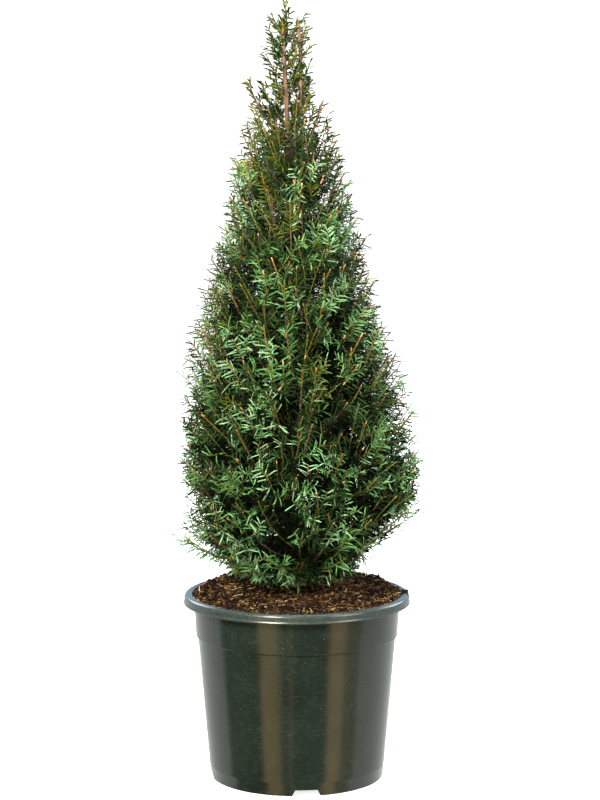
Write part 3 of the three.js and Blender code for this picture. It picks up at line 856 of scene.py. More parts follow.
def placeIn(mass, across, rise, out, inner, inset):
    bearing = mass["bearing"] + across * mass["half"]
    # the crown's face on this line, found by coming nearer to it in steps
    outer = 0.5 * crown["radius"]
    for _ in range(40):
        surface = crownRadiusAt(heightIn(mass["level"], outer, rise), bearing) - inset
        outer += 0.3 * (surface - outer)
    radius = lerp(inner, max(outer, inner), out)
    return pointAt(bearing, radius, heightIn(mass["level"], radius, rise))


def inSpace(mass, point, stray, give, rise):
    # true inside a mass's own space, or at most "give" past its sides, "rise" past its top and "stray" out of
    # the crown
    radius, bearing = radiusOf(point), bearingOf(point)
    if radius > crownRadiusAt(point[2], bearing) + stray or point[2] > crown["top"]:
        return False
    turns = (bearing - mass["bearing"]) / (2 * math.pi)
    off = 2 * math.pi * abs(turns - round(turns))
    inside = min(mass["half"] - off, math.pi / 2)
    if mass["half"] < math.pi and radius * math.sin(inside) < -give:
        return False
    lowest = max(crown["clear"], tierFloor(mass["level"], radius) - give)
    return lowest < point[2] < tierCeiling(mass["level"], radius) + rise


def limbCurve(mass):
    if mass["level"] == leaderLevel:
        shoot = crown["top"] - trunk["tip"] - 1.3
        return lambda share: axisAt(trunk["tip"] + 0.3 + shoot * share)
    if mass["level"] == crestLevel:
        shoot = crestShoots[mass["place"]]

        def crestCurve(share):
            spread = shoot["reach"] * (1 - max(0, 1 - share) ** shoot["hug"])
            return pointAt(mass["bearing"], spread, lerp(shoot["fork"], shoot["aim"], share))

        return crestCurve
    end = placeIn(mass, 0, limbs["aim"], 1, 0, limbs["aimInset"])
    fork = heightIn(mass["level"], 0, limbs["fork"])
    reach = radiusOf(end)
    climb = end[2] - fork

    def curve(share):
        return pointAt(mass["bearing"], reach * share, fork + climb * lerp(share, share**2, limbs["bend"]))

    return curve


def layOutMasses():
    masses = []
    for level, tier in enumerate(tiers):
        half = math.pi / tier["masses"]
        for place in range(tier["masses"]):
            name = f"{tier['name']}_{place + 1}" if tier["masses"] > 1 else tier["name"]
            mass = {"name": name, "level": level, "place": place, "half": half}
            mass["bearing"] = math.radians(tier["turn"]) + 2 * half * place
            mass["random"] = seededRandom(100 * (level + 1) + place + tier["seed"])
            mass["curve"] = limbCurve(mass)
            masses.append(mass)
    return masses


def sideBranch(mass, target, draws):
    # a branchlet from the stem out and up to a place on the crown's face, as three control points
    entry, stemEnd = limbs["bough"], limbs["stem"]
    room = clamp((target[2] - mass["curve"](entry)[2] - 40) / 80, 0, 1)
    start = mass["curve"](lerp(entry + 0.04, stemEnd - 0.05, draws[0] * room))
    outward = unit(target - axisAt(target[2]))
    lift = min(sprays["lift"], 26 + 13 * mass["level"]) * (0.85 + 0.3 * draws[1])
    elbow = target + sprays["lean"] * outward
    elbow[2] = max(target[2] - lift, start[2] - 6)
    return np.array([start, elbow, target])


# Finer growth, which only the scene has. Three single shoots stand out of the crown's lower part, two on the left
# and one on the right.
outliers = {"skirt": ((-158, -30, 348),), "lower": ((170, -30, 408), (-159, -50, 425))}
growth = {
    # one value a tier, from the lowest up: branchlets on each mass's face, inside it and on its underside
    "face": (29, 31, 32, 28, 25, 20, 0, 0),
    "inner": (20, 20, 20, 16, 11, 7, 0, 0),
    "under": (20, 0, 0, 0, 0, 0, 0, 0),
    # how far below its tip a branchlet turns upward, and how much it leans outward as it climbs
    "lift": (40, 62, 80, 95, 105, 105, 90, 60),
    "splay": (1.3, 0.95, 0.75, 0.62, 0.52, 0.4, 0.22, 0.1),
    "sway": 0.22,
    "tries": 320,
    "tipSpacing": 14,
    "tipInset": ((-2, 16), (-9, 14), (-12, 14), (-1, 16), (1, 15), (0, 14), (0, 10), (0, 10)),
    # on the lower right the crown draws in: how far right a spray may stand at a height, one more each millimetre up
    "footEdge": (88, 312),
    # how far left and how far back a spray may stand, and how the crown draws in on the left: from which height,
    # how much each millimetre up, and how much at most
    "farEdge": (-162, 160),
    "leftShoulder": (585, 0.3, 25),
    "faceRise": (0.1, 1.06),
    "innerOut": (0.3, 0.82),
    "underRise": (0.06, 0.2),
    "underOut": (0.15, 0.98),
    "stray": 6,
    "give": 14,
    "rise": 46,
    # needles cover this share of the source's spray length, and this much of a single shoot
    "blade": 1.2,
    "outlierBlade": 90,
    "outlierSlack": 40,
    "twigAngle": (34, 56),
    "twigLength": (24, 48),
    "twigPitch": (17, 17, 18, 19, 21, 22, 26, 26),
    "twigInset": 6,
    # a twig leans out of its spray's plane, bends forward and is bare at its foot. Its needles leave the plane
    # more where it points out of the crown.
    "twigLean": (0.3, 0.5),
    "twigBend": 0.4,
    "twigBare": 0.06,
    "twigSpread": (0.25, 1.6),
    # how far a branchlet's own needles leave its spray's plane
    "spread": {"strong": 0.3, "common": 0.5, "thin": 0.5},
    # a spray shows a side that faces outwards, upwards, and some other way by chance
    "facing": (0.8, 0.6, 0.35),
    # how much blades, twigs, lifts and splays differ from their measure
    "bladeRange": (0.85, 1.25),
    "twigRange": (0.6, 1.1),
    "liftRange": (0.8, 1.2),
    "splayRange": (0.6, 1.3),
    # a strong branchlet's radius from its foot to its tip, a common one's, a thin one's, and a side twig's
    "strong": (1.4, 1.05),
    "common": (0.98, 0.68),
    "thin": (1.0, 0.7),
    "twig": (0.72, 0.5),
    "strongShare": 0.24,
    "prunedShare": 0.22,
    # how often a branchlet's wood and a twig's is green, ochre or brown, and how often green wood ends ochre
    "stemTones": (0.7, 0.17, 0.13),
    "twigTones": (0.8, 0.16, 0.04),
    "ochreEnds": 0.38,
    # how far below the crown's face needles are painted shade, deep green and then near black, at some heights
    "shadeHeights": (290, 420, 540, 680, 820, 1000),
    "deepFrom": (19, 15, 14, 19, 28, 44),
    "shadeFrom": (33, 29, 29, 40, 58, 84),
    "depthScatter": 7,
    "seed": 5,
}
leaders = {
    # side shoots on the leader, the second leader and the lone shoot: where they start and end (a height on the
    # leader, a share of the other two), how many there are, and their length from the lowest to the highest
    "leader": (862, 1050, 44, (74, 32)),
    "second": (0.2, 0.97, 23, (54, 24)),
    "lone": (0.25, 0.97, 10, (32, 16)),
    "tilt": (40, 20),
    "tiltRange": (0.75, 1.25),
    "lengthRange": (0.7, 1.2),
    # each side shoot stands this many degrees round the stem from the last
    "turn": 137.5,
    # no side shoot points nearer to the front than this, so that the stems show
    "bareFront": -0.6,
    "tip": (1036, 1066),
    "tipRadius": (2.3, 2.0),
    "beside": (1044, 1086),
    "besideOff": 5,
    # the stretches of a crest shoot that carry needles of their own
    "ownNeedles": ((0.4, 0.72), (0.68, 1)),
}
needles = {
    "length": 21.0,
    "lengthRange": (0.64, 1.1),
    "widthRange": (0.85, 1.12),
    "pitch": 2.5,
    # one value a tier: how long needles are as a share of the length above, how wide, and how far they stand off
    # their shoot in degrees
    "sizes": (1.0, 1.0, 1.0, 0.98, 0.94, 0.88, 0.82, 0.8),
    "widths": (1.72, 1.72, 1.74, 1.8, 1.92, 2.1, 2.4, 2.6),
    "angles": (53, 53, 53, 52, 50, 45, 38, 36),
    "tipAngle": 28,
    "angleScatter": 10,
    # where the shorter needles of a shoot's tip start, and how much shorter they get
    "tipFrom": 0.8,
    "tipShrink": 0.3,
    "ridge": 0.28,
    "bendBack": (0.04, 0.32),
    "bendDown": (0.0, 0.12),
    "sickle": 0.09,
    "lift": 20,
    "prunedEnd": 0.95,
    "seed": 17,
}
# How often a spray takes each tone of needleTones, by number: near the top, and elsewhere by how high it stands and
# how far left. Each pair is a least share and what height or side adds.
sprayHues = {
    # the heights and the width over which the shares change
    "span": (300, 1080),
    "width": 260,
    "topFrom": 0.76,
    "top": ((0, 1, 2, 4), (0.04, 0.56, 0.01, 0.39)),
    "mid": 0.62,
    # the pale grey green, partly a painted highlight, comes more often low down
    "grey": (0.3, 0.3),
    "olive": (0.02, 0.42),
    "fresh": (0.01, 0.12),
}


def pointOn(path, share):
    return onBezier(path[None], np.array([[share]]))[0, 0]


def stretchOf(curve, first, last):
    # a stretch of a limb's curve as three control points
    start, middle, end = (curve(share) for share in (first, (first + last) / 2, last))
    return np.array([start, 2 * middle - (start + end) / 2, end])


def outwardAt(point):
    return unit((point - axisAt(point[2])) * np.array([1, 1, 0]))


def hueOf(point, rng):
    # the tone of a spray in the light: yellower high up and on the left
    low, high = sprayHues["span"]
    height = clamp((point[2] - low) / (high - low), 0, 1)
    left = clamp(0.5 - point[0] / sprayHues["width"], 0, 1)
    if height > sprayHues["topFrom"]:
        return rng.choices(*sprayHues["top"])[0]
    grey, olive, fresh = (sprayHues[tone] for tone in ("grey", "olive", "fresh"))
    weights = (
        height**3,
        sprayHues["mid"],
        grey[0] + grey[1] * (1 - height) ** 3,
        olive[0] + olive[1] * height**1.5 * (0.2 + left),
        fresh[0] + fresh[1] * height**2 * (0.3 + left),
    )
    return rng.choices((1, 2, 3, 4, 5), weights)[0]


def toneAt(hue, point, rng):
    # painted shade: the further inside the crown a spray stands, the darker its needles are
    depth = crownRadiusAt(point[2], bearingOf(point)) - radiusOf(point) + rng.gauss(0, growth["depthScatter"])
    deep, shade = (np.interp(point[2], growth["shadeHeights"], growth[key]) for key in ("deepFrom", "shadeFrom"))
    return 0 if depth > shade else 1 if depth > deep else hue


def newShoot(path, bare, radius, facing, hue, rng, spread, isMain):
    # one shoot. "bare" is the share of it below its needles, and "spread" is how far they leave the spray's plane.
    tone = toneAt(hue, pointOn(path, 0.8) if isMain else path[2], rng)
    stems = growth["stemTones" if isMain else "twigTones"]
    return {
        "path": path,
        "bare": bare,
        "end": 1,
        "radius": radius,
        "facing": facing,
        "hue": hue,
        "tone": tone,
        # a spray whose needles are painted near-black shade gets painted-shade wood too
        "stemTone": 4 if tone == 0 else rng.choices((0, 1, 2), stems)[0],
        "spread": spread,
        "main": isMain,
        "wood": True,
        "pruned": isMain and rng.random() < growth["prunedShare"],
    }


def facingOf(path, rng):
    # the side that a spray shows: outwards on an upright shoot, upwards on a level one
    along = unit(path[2] - path[1])
    out, up, chance = growth["facing"]
    wish = out * outwardAt(path[2]) + np.array([0, 0, up]) + np.array([rng.gauss(0, chance) for _ in range(3)])
    return unit(wish - along * wish.dot(along))


def splitOff(parent, share, hand, length, rng):
    # a side twig in the plane of its parent's spray, which bends forward along it
    point = pointOn(parent["path"], share)
    along = alongBezier(parent["path"][None], np.array([[share]]))[0, 0]
    side = unit(np.cross(parent["facing"], along)) * hand
    angle = math.radians(rng.uniform(*growth["twigAngle"]))
    lean = parent["facing"] * rng.gauss(*growth["twigLean"])
    first = unit(along * math.cos(angle) + (side + lean) * math.sin(angle))
    last = unit(first + growth["twigBend"] * along + np.array([0, 0, 0.1]))
    elbow = point + first * length * 0.5
    path = np.array([point, elbow, elbow + last * length * 0.5])
    spread = lerp(*growth["twigSpread"], abs(last.dot(outwardAt(point))) ** 2)
    bare, facing = growth["twigBare"], facingOf(path, rng)
    return newShoot(path, bare, growth["twig"], facing, parent["hue"], rng, spread, False)


def branch(path, blade, kind, hue, level, keeps, rng):
    # a branchlet with its side twigs. Its needles cover the last "blade" millimetres of it, older ones lower down.
    length = np.linalg.norm(path[2] - path[1]) + np.linalg.norm(path[1] - path[0])
    blade = min(blade * rng.uniform(*growth["bladeRange"]) / length, 0.95)
    facing = facingOf(path, rng)
    main = newShoot(path, 1 - blade, growth[kind], facing, hue, rng, growth["spread"][kind], True)
    middle = 1 - 0.5 * blade
    elder = dict(main, end=middle, wood=False, pruned=False)
    # the older, lower part of the branchlet takes the painted shade of its own deeper place
    elder["tone"] = toneAt(hue, pointOn(path, 1 - 0.75 * blade), rng)
    shoots = [dict(main, bare=middle), elder]
    count = int(blade * length / growth["twigPitch"][level])
    hand = rng.choice((-1, 1))
    shortest, longest = growth["twigLength"]
    for k in range(count):
        share = 1 - blade + blade * (k + rng.uniform(0.1, 0.7)) / max(count, 1)
        size = lerp(longest, shortest, k / max(count - 1, 1)) * rng.uniform(*growth["twigRange"])
        twig = splitOff(main, min(share, 0.93), hand, min(size, 0.5 * length), rng)
        hand = -hand
        if keeps(twig["path"][2]):
            shoots.append(twig)
    return shoots


def climbTo(mass, target, draws, rng):
    # the source's side branch, carried on: it leaves the stem lower and climbs longer towards its tip
    path = sideBranch(mass, target, draws)
    level = mass["level"]
    outward = outwardAt(target)
    across = np.array([-outward[1], outward[0], 0])
    room = target[2] - tierFloor(level, radiusOf(target)) + growth["give"]
    lift = clamp(growth["lift"][level] * rng.uniform(*growth["liftRange"]), 12, max(room, 12))
    elbow = target - outward * lift * growth["splay"][level] * rng.uniform(*growth["splayRange"])
    elbow += across * lift * rng.gauss(0, growth["sway"])
    elbow[2] = max(target[2] - lift, path[0][2] - 12)
    return np.array([path[0], elbow, target])


def growMass(mass):
    rng = random.Random(1000 * mass["level"] + 10 * mass["place"] + growth["seed"])
    level, curve = mass["level"], mass["curve"]
    stray = tiers[level]["stray"] + growth["stray"]
    blade = growth["blade"] * sprays["length"]

    def drawnIn(point):
        right, height = growth["footEdge"]
        left, back = growth["farEdge"]
        start, slope, most = growth["leftShoulder"]
        left += clamp(slope * (point[2] - start), 0, most)
        return point[0] > right + max(0, point[2] - height) or point[0] < left or point[1] > back

    def keeps(point):
        return inSpace(mass, point, -growth["twigInset"], growth["give"], growth["rise"]) and not drawnIn(point)

    endPath = stretchOf(curve, limbs["stem"] - 0.04, 1)
    shoots = branch(endPath, blade, "common", hueOf(endPath[2], rng), level, keeps, rng)
    tips = [endPath[2]]
    for place in outliers.get(tiers[level]["name"], ()):
        target = np.array(place, float)
        if inSpace(mass, target, growth["outlierSlack"], 0, growth["outlierSlack"]):
            path = climbTo(mass, target, (0.5, 0.5, 0.5), rng)
            shoots += branch(path, growth["outlierBlade"], "strong", 2, level, lambda point: True, rng)
            tips.append(target)
    for kind in ("face", "inner", "under"):
        placed = 0
        for k in range(1, growth["tries"]):
            if placed >= growth[kind][level]:
                break
            draws = [mass["random"]() for _ in range(3)]
            across = 2 * ((0.5 + sprays["steps"][0] * k) % 1) - 1
            rise = growth["faceRise"][0] + growth["faceRise"][1] * ((0.32 + sprays["steps"][1] * k) % 1)
            inset = lerp(*growth["tipInset"][level], rng.random() ** 1.3)
            out = 1
            if kind == "inner":
                out = lerp(*growth["innerOut"], math.sqrt(rng.random()))
            if kind == "under":
                rise = rng.uniform(*growth["underRise"])
                out = rng.uniform(*growth["underOut"])
            target = placeIn(mass, across, rise, out, 0, inset)
            if min(np.linalg.norm(tip - target) for tip in tips) < growth["tipSpacing"] or drawnIn(target):
                continue
            path = climbTo(mass, target, draws, rng)
            bend = onBezier(path[None], np.array([[0.6, 0.8, 0.95]]))[0]
            if kind == "face" and not all(inSpace(mass, p, stray, growth["give"], growth["rise"]) for p in bend):
                continue
            isStrong = kind == "face" and rng.random() < growth["strongShare"]
            build = "strong" if isStrong else "common"
            shoots += branch(path, blade, build, hueOf(target, rng), level, keeps, rng)
            tips.append(target)
            placed += 1
    return shoots


def sideShoots(stem, level, low, high, count, lengths, rng):
    # steep side shoots all round a free stem, shorter towards its tip
    def keeps(point):
        return radiusOf(point) < crownRadiusAt(point[2], 0) and point[2] < crown["top"] - 10

    shoots = []
    bearing = rng.uniform(-math.pi, math.pi)
    for k in range(count):
        share = (k + rng.random()) / count
        start = stem(lerp(low, high, share))
        bearing += math.radians(leaders["turn"])
        side = np.array([math.cos(bearing), math.sin(bearing), 0])
        if side[1] < leaders["bareFront"]:
            continue
        length = lerp(*lengths, share) * rng.uniform(*leaders["lengthRange"])
        tilts = [math.radians(tilt) * rng.uniform(*leaders["tiltRange"]) for tilt in leaders["tilt"]]
        middleTilt, endTilt = tilts
        elbow = start + 0.5 * length * (side * math.sin(middleTilt) + np.array([0, 0, math.cos(middleTilt)]))
        end = elbow + 0.5 * length * (side * math.sin(endTilt) + np.array([0, 0, math.cos(endTilt)]))
        path = np.array([start, elbow, end])
        path = start + (path - start) * min(1, (crown["top"] - 11 - start[2]) / (end[2] - start[2]))
        shoots += branch(path, length, "thin", hueOf(end, rng), level, keeps, rng)
    return shoots


def growLeader():
    # the leader's cut tip, a leafy shoot that stands beside it, and short side shoots below
    rng = random.Random(growth["seed"])
    front = np.array([0, -1, 0])
    low, high, count, lengths = leaders["leader"]
    shoots = sideShoots(axisAt, leaderLevel, low, high, count, lengths, rng)
    start, end = (axisAt(height) for height in leaders["tip"])
    cut = newShoot(np.array([start, (start + end) / 2, end]), 0.2, leaders["tipRadius"], front, 4, rng, 1.2, True)
    start, end = (axisAt(height) for height in leaders["beside"])
    end[0] += leaders["besideOff"]
    path = np.array([start, (start + end) / 2 + np.array([3, 0, 0]), end])
    leafy = newShoot(path, 0.05, growth["thin"], front, 4, rng, 0.7, True)
    return shoots + [dict(cut, pruned=True, stemTone=1), dict(leafy, pruned=False)]


def growCrest(mass):
    # the second leader's and the lone shoot's own needles and side shoots
    rng = random.Random(growth["seed"] + 1 + mass["place"])
    low, high, count, lengths = leaders["second" if mass["place"] == 0 else "lone"]
    shoots = sideShoots(mass["curve"], crestLevel, low, high, count, lengths, rng)
    for first, last in leaders["ownNeedles"]:
        path = stretchOf(mass["curve"], first, last)
        own = newShoot(path, 0.1, growth["thin"], facingOf(path, rng), 4, rng, 0.9, True)
        shoots.append(dict(own, pruned=False))
    return shoots


def clothe(shoots, level, rng):
    # the needles of many shoots as one mesh. A needle is a narrow folded blade of eight triangles: a short stalk,
    # parallel sides and a point.
    paths, bare, end, facing, spread, tone, pruned = (
        np.array([shoot[key] for shoot in shoots])
        for key in ("path", "bare", "end", "facing", "spread", "tone", "pruned")
    )
    scale = needles["sizes"][level]
    steps = onBezier(paths, np.tile(np.linspace(0, 1, 9), (len(paths), 1)))
    length = np.linalg.norm(np.diff(steps, axis=1), axis=2).sum(axis=1)
    end = np.where(pruned, needles["prunedEnd"], end)
    counts = np.maximum(2, ((end - bare) * length / (needles["pitch"] * scale**0.5)).astype(int))
    owner = np.repeat(np.arange(len(shoots)), counts)  # each needle's shoot
    total = len(owner)
    rank = np.arange(total) - np.repeat(np.cumsum(counts) - counts, counts)
    share = (rank + 0.5 + rng.uniform(-0.35, 0.35, total)) / counts[owner]
    at = (bare[owner] + (end[owner] - bare[owner]) * share)[:, None]
    point = onBezier(paths[owner], at)[:, 0]
    along = alongBezier(paths[owner], at)[:, 0]
    side = unit(np.cross(facing[owner], along))
    face = np.cross(along, side)

    # needles stand in two rows, left and right in turn, and those at a shoot's tip point forward
    lift = math.radians(needles["lift"])
    hand = np.where(rank % 2 == 0, 1.0, -1.0)
    turn = hand * (math.pi / 2 - lift) + rng.normal(0, 1, total) * spread[owner]
    radial = np.cos(turn)[:, None] * face + np.sin(turn)[:, None] * side
    nearTip = np.clip((share - needles["tipFrom"]) / (1 - needles["tipFrom"]), 0, 1) * (end[owner] == 1)
    scatter = rng.normal(0, needles["angleScatter"], total)
    angle = np.radians(lerp(needles["angles"][level], needles["tipAngle"], nearTip) + scatter)
    direction = along * np.cos(angle)[:, None] + radial * np.sin(angle)[:, None]
    normal = 0.55 * along + face + rng.normal(0, 0.3, (total, 3))
    normal = unit(normal - direction * (normal * direction).sum(axis=1)[:, None])
    across = np.cross(normal, direction)
    bend = -along * rng.uniform(*needles["bendBack"], (total, 1))
    bend = bend + np.array([0, 0, -1]) * rng.uniform(*needles["bendDown"], (total, 1))
    bend = bend + across * (needles["sickle"] * rng.normal(0, 1, (total, 1)))

    size = scale * needles["length"] * rng.uniform(*needles["lengthRange"], total)
    size = size * (1 - needles["tipShrink"] * nearTip)
    half = needles["widths"][level] / 2 * rng.uniform(*needles["widthRange"], total)
    # a needle's corners: along it, across it, and up to its ridge
    outline = np.array(
        [(0, 0, 0), (0.2, -0.9, 0), (0.2, 0.9, 0), (0.74, -1, 0), (0.74, 1, 0), (1, 0, 0), (0.2, 0, 1), (0.74, 0, 1)]
    )
    faces = np.array([(0, 1, 6), (0, 6, 2), (1, 3, 7), (1, 7, 6), (6, 7, 4), (6, 4, 2), (3, 5, 7), (7, 5, 4)])
    u, v, w = outline.T
    corners = (
        point[:, None]
        + (u * size[:, None])[..., None] * direction[:, None]
        + (u**2 * size[:, None])[..., None] * bend[:, None]
        + (v * half[:, None])[..., None] * across[:, None]
        + (w * needles["ridge"])[:, None] * normal[:, None]
    )
    triangles = faces[None] + (np.arange(total) * len(outline))[:, None, None]
    return corners.reshape(-1, 3), triangles.reshape(-1, 3), np.repeat(tone[owner], len(faces))


def makeWood(shoots, rng):
    # the shoots' own stems as one mesh, turning ochre towards the tip. A pruned shoot ends in a pale cut, one
    # whose needles are painted near-black shade keeps painted-shade wood to its end, and any other ends in an
    # orange bud.
    parts = []
    offset = 0
    for isMain, shares, sides in ((True, (0, 0.25, 0.5, 0.75, 0.97, 1), 4), (False, (0, 0.5, 0.94, 1), 3)):
        chosen = [shoot for shoot in shoots if shoot["main"] == isMain and shoot["wood"]]
        if not chosen:
            continue
        paths = np.array([shoot["path"] for shoot in chosen])
        radii = np.array([shoot["radius"] for shoot in chosen])
        corners, triangles, band, cap = tubes(paths, radii[:, 0], radii[:, 1], shares, sides, rng)
        stems = np.array([shoot["stemTone"] for shoot in chosen])
        slots = np.repeat(stems[:, None], triangles.shape[1], axis=1)
        if isMain:
            upper = np.where((stems == 0) & (rng.random(len(chosen)) < growth["ochreEnds"]), 1, stems)
            slots[:, 3 * band : 4 * band] = upper[:, None]
        ends = np.where([shoot["pruned"] for shoot in chosen], 3, np.where(stems == 4, 4, 1))
        slots[:, band * (len(shares) - 2) : band * (len(shares) - 1)] = ends[:, None]
        slots[:, triangles.shape[1] - cap :] = ends[:, None]
        parts.append((corners, triangles.reshape(-1, 3) + offset, slots.ravel()))
        offset += len(corners)
    return [np.concatenate([part[k] for part in parts]) for k in range(3)]


def makeFoliage(masses):
    needleMaterials = makeNeedleMaterials()
    twigMaterials = makeTwigMaterials()
    total = 0
    for level, tier in enumerate(tiers):
        own = [mass for mass in masses if mass["level"] == level]
        if level == leaderLevel:
            shoots = growLeader()
        else:
            grow = growCrest if level == crestLevel else growMass
            shoots = [shoot for mass in own for shoot in grow(mass)]
        rng = np.random.default_rng(needles["seed"] + level)
        green = meshPiece("needles_" + tier["name"], *clothe(shoots, level, rng), needleMaterials)
        wood = meshPiece("twigs_" + tier["name"], *makeWood(shoots, rng), twigMaterials)
        for piece, slot in ((green, "needles"), (wood, "bark")):
            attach(piece, "root")
            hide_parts(*("foliage_" + mass["name"] for mass in own))
            total += len(piece.data.polygons)
        print(tier["name"] + ":", len(shoots), "shoots,", len(green.data.polygons), "needle triangles")
    print("foliage:", total, "triangles")


def flareAt(height):
    return trunk["flareRadius"] * math.exp(-(height - trunk["foot"]) / trunk["flareHeight"])


def makeTrunk(bark):
    # rings up the leaning trunk, close together at its foot, then the root flare's lobes and the bark's ridges
    steps = int((trunk["tip"] - trunk["foot"]) / trunk["ringStep"])
    count, gap = trunk["flareRings"]
    heights = [trunk["foot"] + gap * k for k in range(count)]
    heights += [lerp(heights[-1], trunk["tip"], (k + 1) / steps) for k in range(steps)]
    rings = [(axisAt(height), trunkRadius(height) + flareAt(height)) for height in heights]
    body = ringSolid("trunkWood", rings, trunk["sides"])
    depth, lobes, turn = trunk["flareLobe"]
    for corner in body.data.vertices:
        height = corner.co.z * 1000
        off = corner.co - mmPoint(axisAt(height))
        lobe = depth * math.cos(lobes * math.atan2(off.y, off.x) + turn)
        corner.co += off.normalized() * mm(flareAt(height) * lobe) if off.length > 0 else Vector()
    body.data.update()

    def ridgeAt(place):
        # upright plates, deeper low down where the bark is old
        depth = lerp(*trunk["plateDepth"], clamp((place.z * 1000 - trunk["foot"]) / trunk["plateFade"], 0, 1))
        stretched = Vector((place.x, place.y, place.z * trunk["plateStretch"])) / mm(trunk["plateMm"])
        return mm(depth) * (noise.noise(stretched) + 0.5 * noise.noise(stretched * 2.3))

    roughen(body, ridgeAt)
    smoothByAngle(body, 50)
    body.data.materials.append(bark)
    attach(body, "root")
    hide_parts("trunk")


boughShape = {
    "steps": 22,
    # how far along its curve a bough is drawn and how thin it ends, and the same for the crest's two shoots
    "drawn": 0.86,
    "thinnest": 0.26,
    "crestDrawn": 0.97,
    "crestThinnest": (0.75, 0.3),
    # a bough swells where it leaves the trunk: by how much, and how fast that fades
    "collar": (0.8, 14),
    "roughMm": (6, 0.35),
}


def makeBoughs(masses, bark):
    # each limb as a tapering tube on its curve, from inside the trunk to where its twigs take over
    lines = bpy.data.curves.new("boughs", "CURVE")
    lines.dimensions = "3D"
    lines.bevel_depth = mm(1)  # so that a knot's radius is in millimetres
    lines.bevel_resolution = 3
    lines.use_fill_caps = True
    steps = boughShape["steps"]
    swell, fade = boughShape["collar"]
    for mass in masses:
        if mass["level"] == leaderLevel:
            continue
        spline = lines.splines.new("POLY")
        spline.points.add(steps)
        last, thinnest = boughShape["drawn"], boughShape["thinnest"]
        if mass["level"] == crestLevel:
            last, thinnest = boughShape["crestDrawn"], boughShape["crestThinnest"][mass["place"]]
        for k, knot in enumerate(spline.points):
            share = last * k / steps
            x, y, z = mass["curve"](share)
            knot.co = (mm(x), mm(y), mm(z), 1)
            collar = 1 + swell * math.exp(-share * fade)
            knot.radius = tiers[mass["level"]]["limb"] * lerp(1, thinnest, share / last) * collar
    bpy.ops.object.select_all(action="DESELECT")
    boughs = bpy.data.objects.new("boughs", lines)
    bpy.context.scene.collection.objects.link(boughs)
    boughs.select_set(True)
    bpy.context.view_layer.objects.active = boughs
    bpy.ops.object.convert(target="MESH")
    boughs = bpy.context.active_object
    size, depth = boughShape["roughMm"]
    roughen(boughs, lambda place: mm(depth) * noise.noise(place / mm(size)))
    smoothByAngle(boughs, 60)
    boughs.data.materials.clear()
    boughs.data.materials.append(bark)
    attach(boughs, "root")
    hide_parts(*("bough_" + mass["name"] for mass in masses if mass["level"] != leaderLevel))
    print("boughs:", len(boughs.data.polygons), "faces")


studio = {
    "cameraPlace": (4.49, -3474.1, 958.0),
    "cameraPitch": 6.93,
    "lens": 112.5,
    # floor, rounded corner, wall and ceiling of the white bowl, as (radius, height)
    "bowl": (
        (7500, -0.3),
        (8200, 60),
        (8700, 330),
        (9000, 900),
        (9000, 7000),
        (7500, 9300),
        (4000, 10600),
        (50, 11000),
    ),
    "bowlColour": "#f3f3f1",
    # how strongly the bowl glows near the plant and further out, and between which distances in metres it changes
    "bowlGlow": (0.8, 1.1),
    "bowlGlowReach": (0.9, 3.0),
    "bounceRadius": 9000,
    "bounceHeight": -1.5,
    "bounceColour": "#2c2c2b",
    "upperSky": ("#e6e9ec", 0.1),
    # what a glossy wall mirrors below the horizon: hex colours at bearings from the camera's side, left negative
    "lowerSky": (
        (-180, "#bcc1ba"),
        (-99, "#bcc1ba"),
        (-95, "#4c544c"),
        (-47, "#4e564e"),
        (-42, "#fcd99d"),
        (-25, "#f0d096"),
        (-17, "#62645a"),
        (-10, "#5c6256"),
        (-9, "#b29e76"),
        (-6, "#b29e76"),
        (-4.5, "#545c54"),
        (36, "#5a625a"),
        (41, "#ffdda6"),
        (56, "#ffdda6"),
        (62, "#a8a088"),
        (77, "#9a9a84"),
        (82, "#c8ccc4"),
        (180, "#bcc1ba"),
    ),
    "lowerStrength": 2.1,
    # the sine of the angles between which the bands give way to the sky
    "horizon": (-0.06, 0.02),
    # the pale sky that the pot's rim and the needles' sheen mirror, dimmer in front than behind, with the radius
    # and the foot of its dome
    "mirrorSky": ("#b6d0ea", 0.6, 1.6),
    "mirrorDome": (6000, 120),
    # name, place, what it looks at, width and height in millimetres, watts, hex colour
    "lights": (
        ("keySoftbox", (-1500, -2900, 2400), (0, 0, 520), 900, 900, 275, "#fff7ea"),
        ("fillSoftbox", (2300, -1700, 1900), (0, 0, 520), 1300, 1300, 62, "#f8faff"),
        ("topSoftbox", (150, -450, 5200), (0, -100, 600), 4500, 2000, 270, "#e2ebff"),
        ("backLeftSoftbox", (-2300, 2500, 2100), (0, 0, 520), 1500, 1500, 62, "#f6f9ff"),
        ("backRightSoftbox", (2600, 2000, 1900), (0, 0, 520), 1500, 1500, 62, "#f6f9ff"),
        ("backSoftbox", (200, 3800, 1400), (0, 0, 520), 1400, 1400, 70, "#f6f9ff"),
        ("frontSoftbox", (-500, -3900, 850), (0, 0, 400), 1400, 1400, 100, "#fffaf0"),
    ),
    "unmirrored": ("frontSoftbox", "backSoftbox"),
}


def glowAcross(tree, shader, measure, reach, strengths):
    # emission that rises smoothly from one strength to another as a measure of the place grows
    span = dict(zip(("From Min", "From Max", "To Min", "To Max"), (*reach, *strengths)))
    glow = addNode(tree, "ShaderNodeMapRange", {"interpolation_type": "SMOOTHSTEP"}, span, {"Value": measure})
    tree.links.new(glow.outputs["Result"], shader.inputs["Emission Strength"])


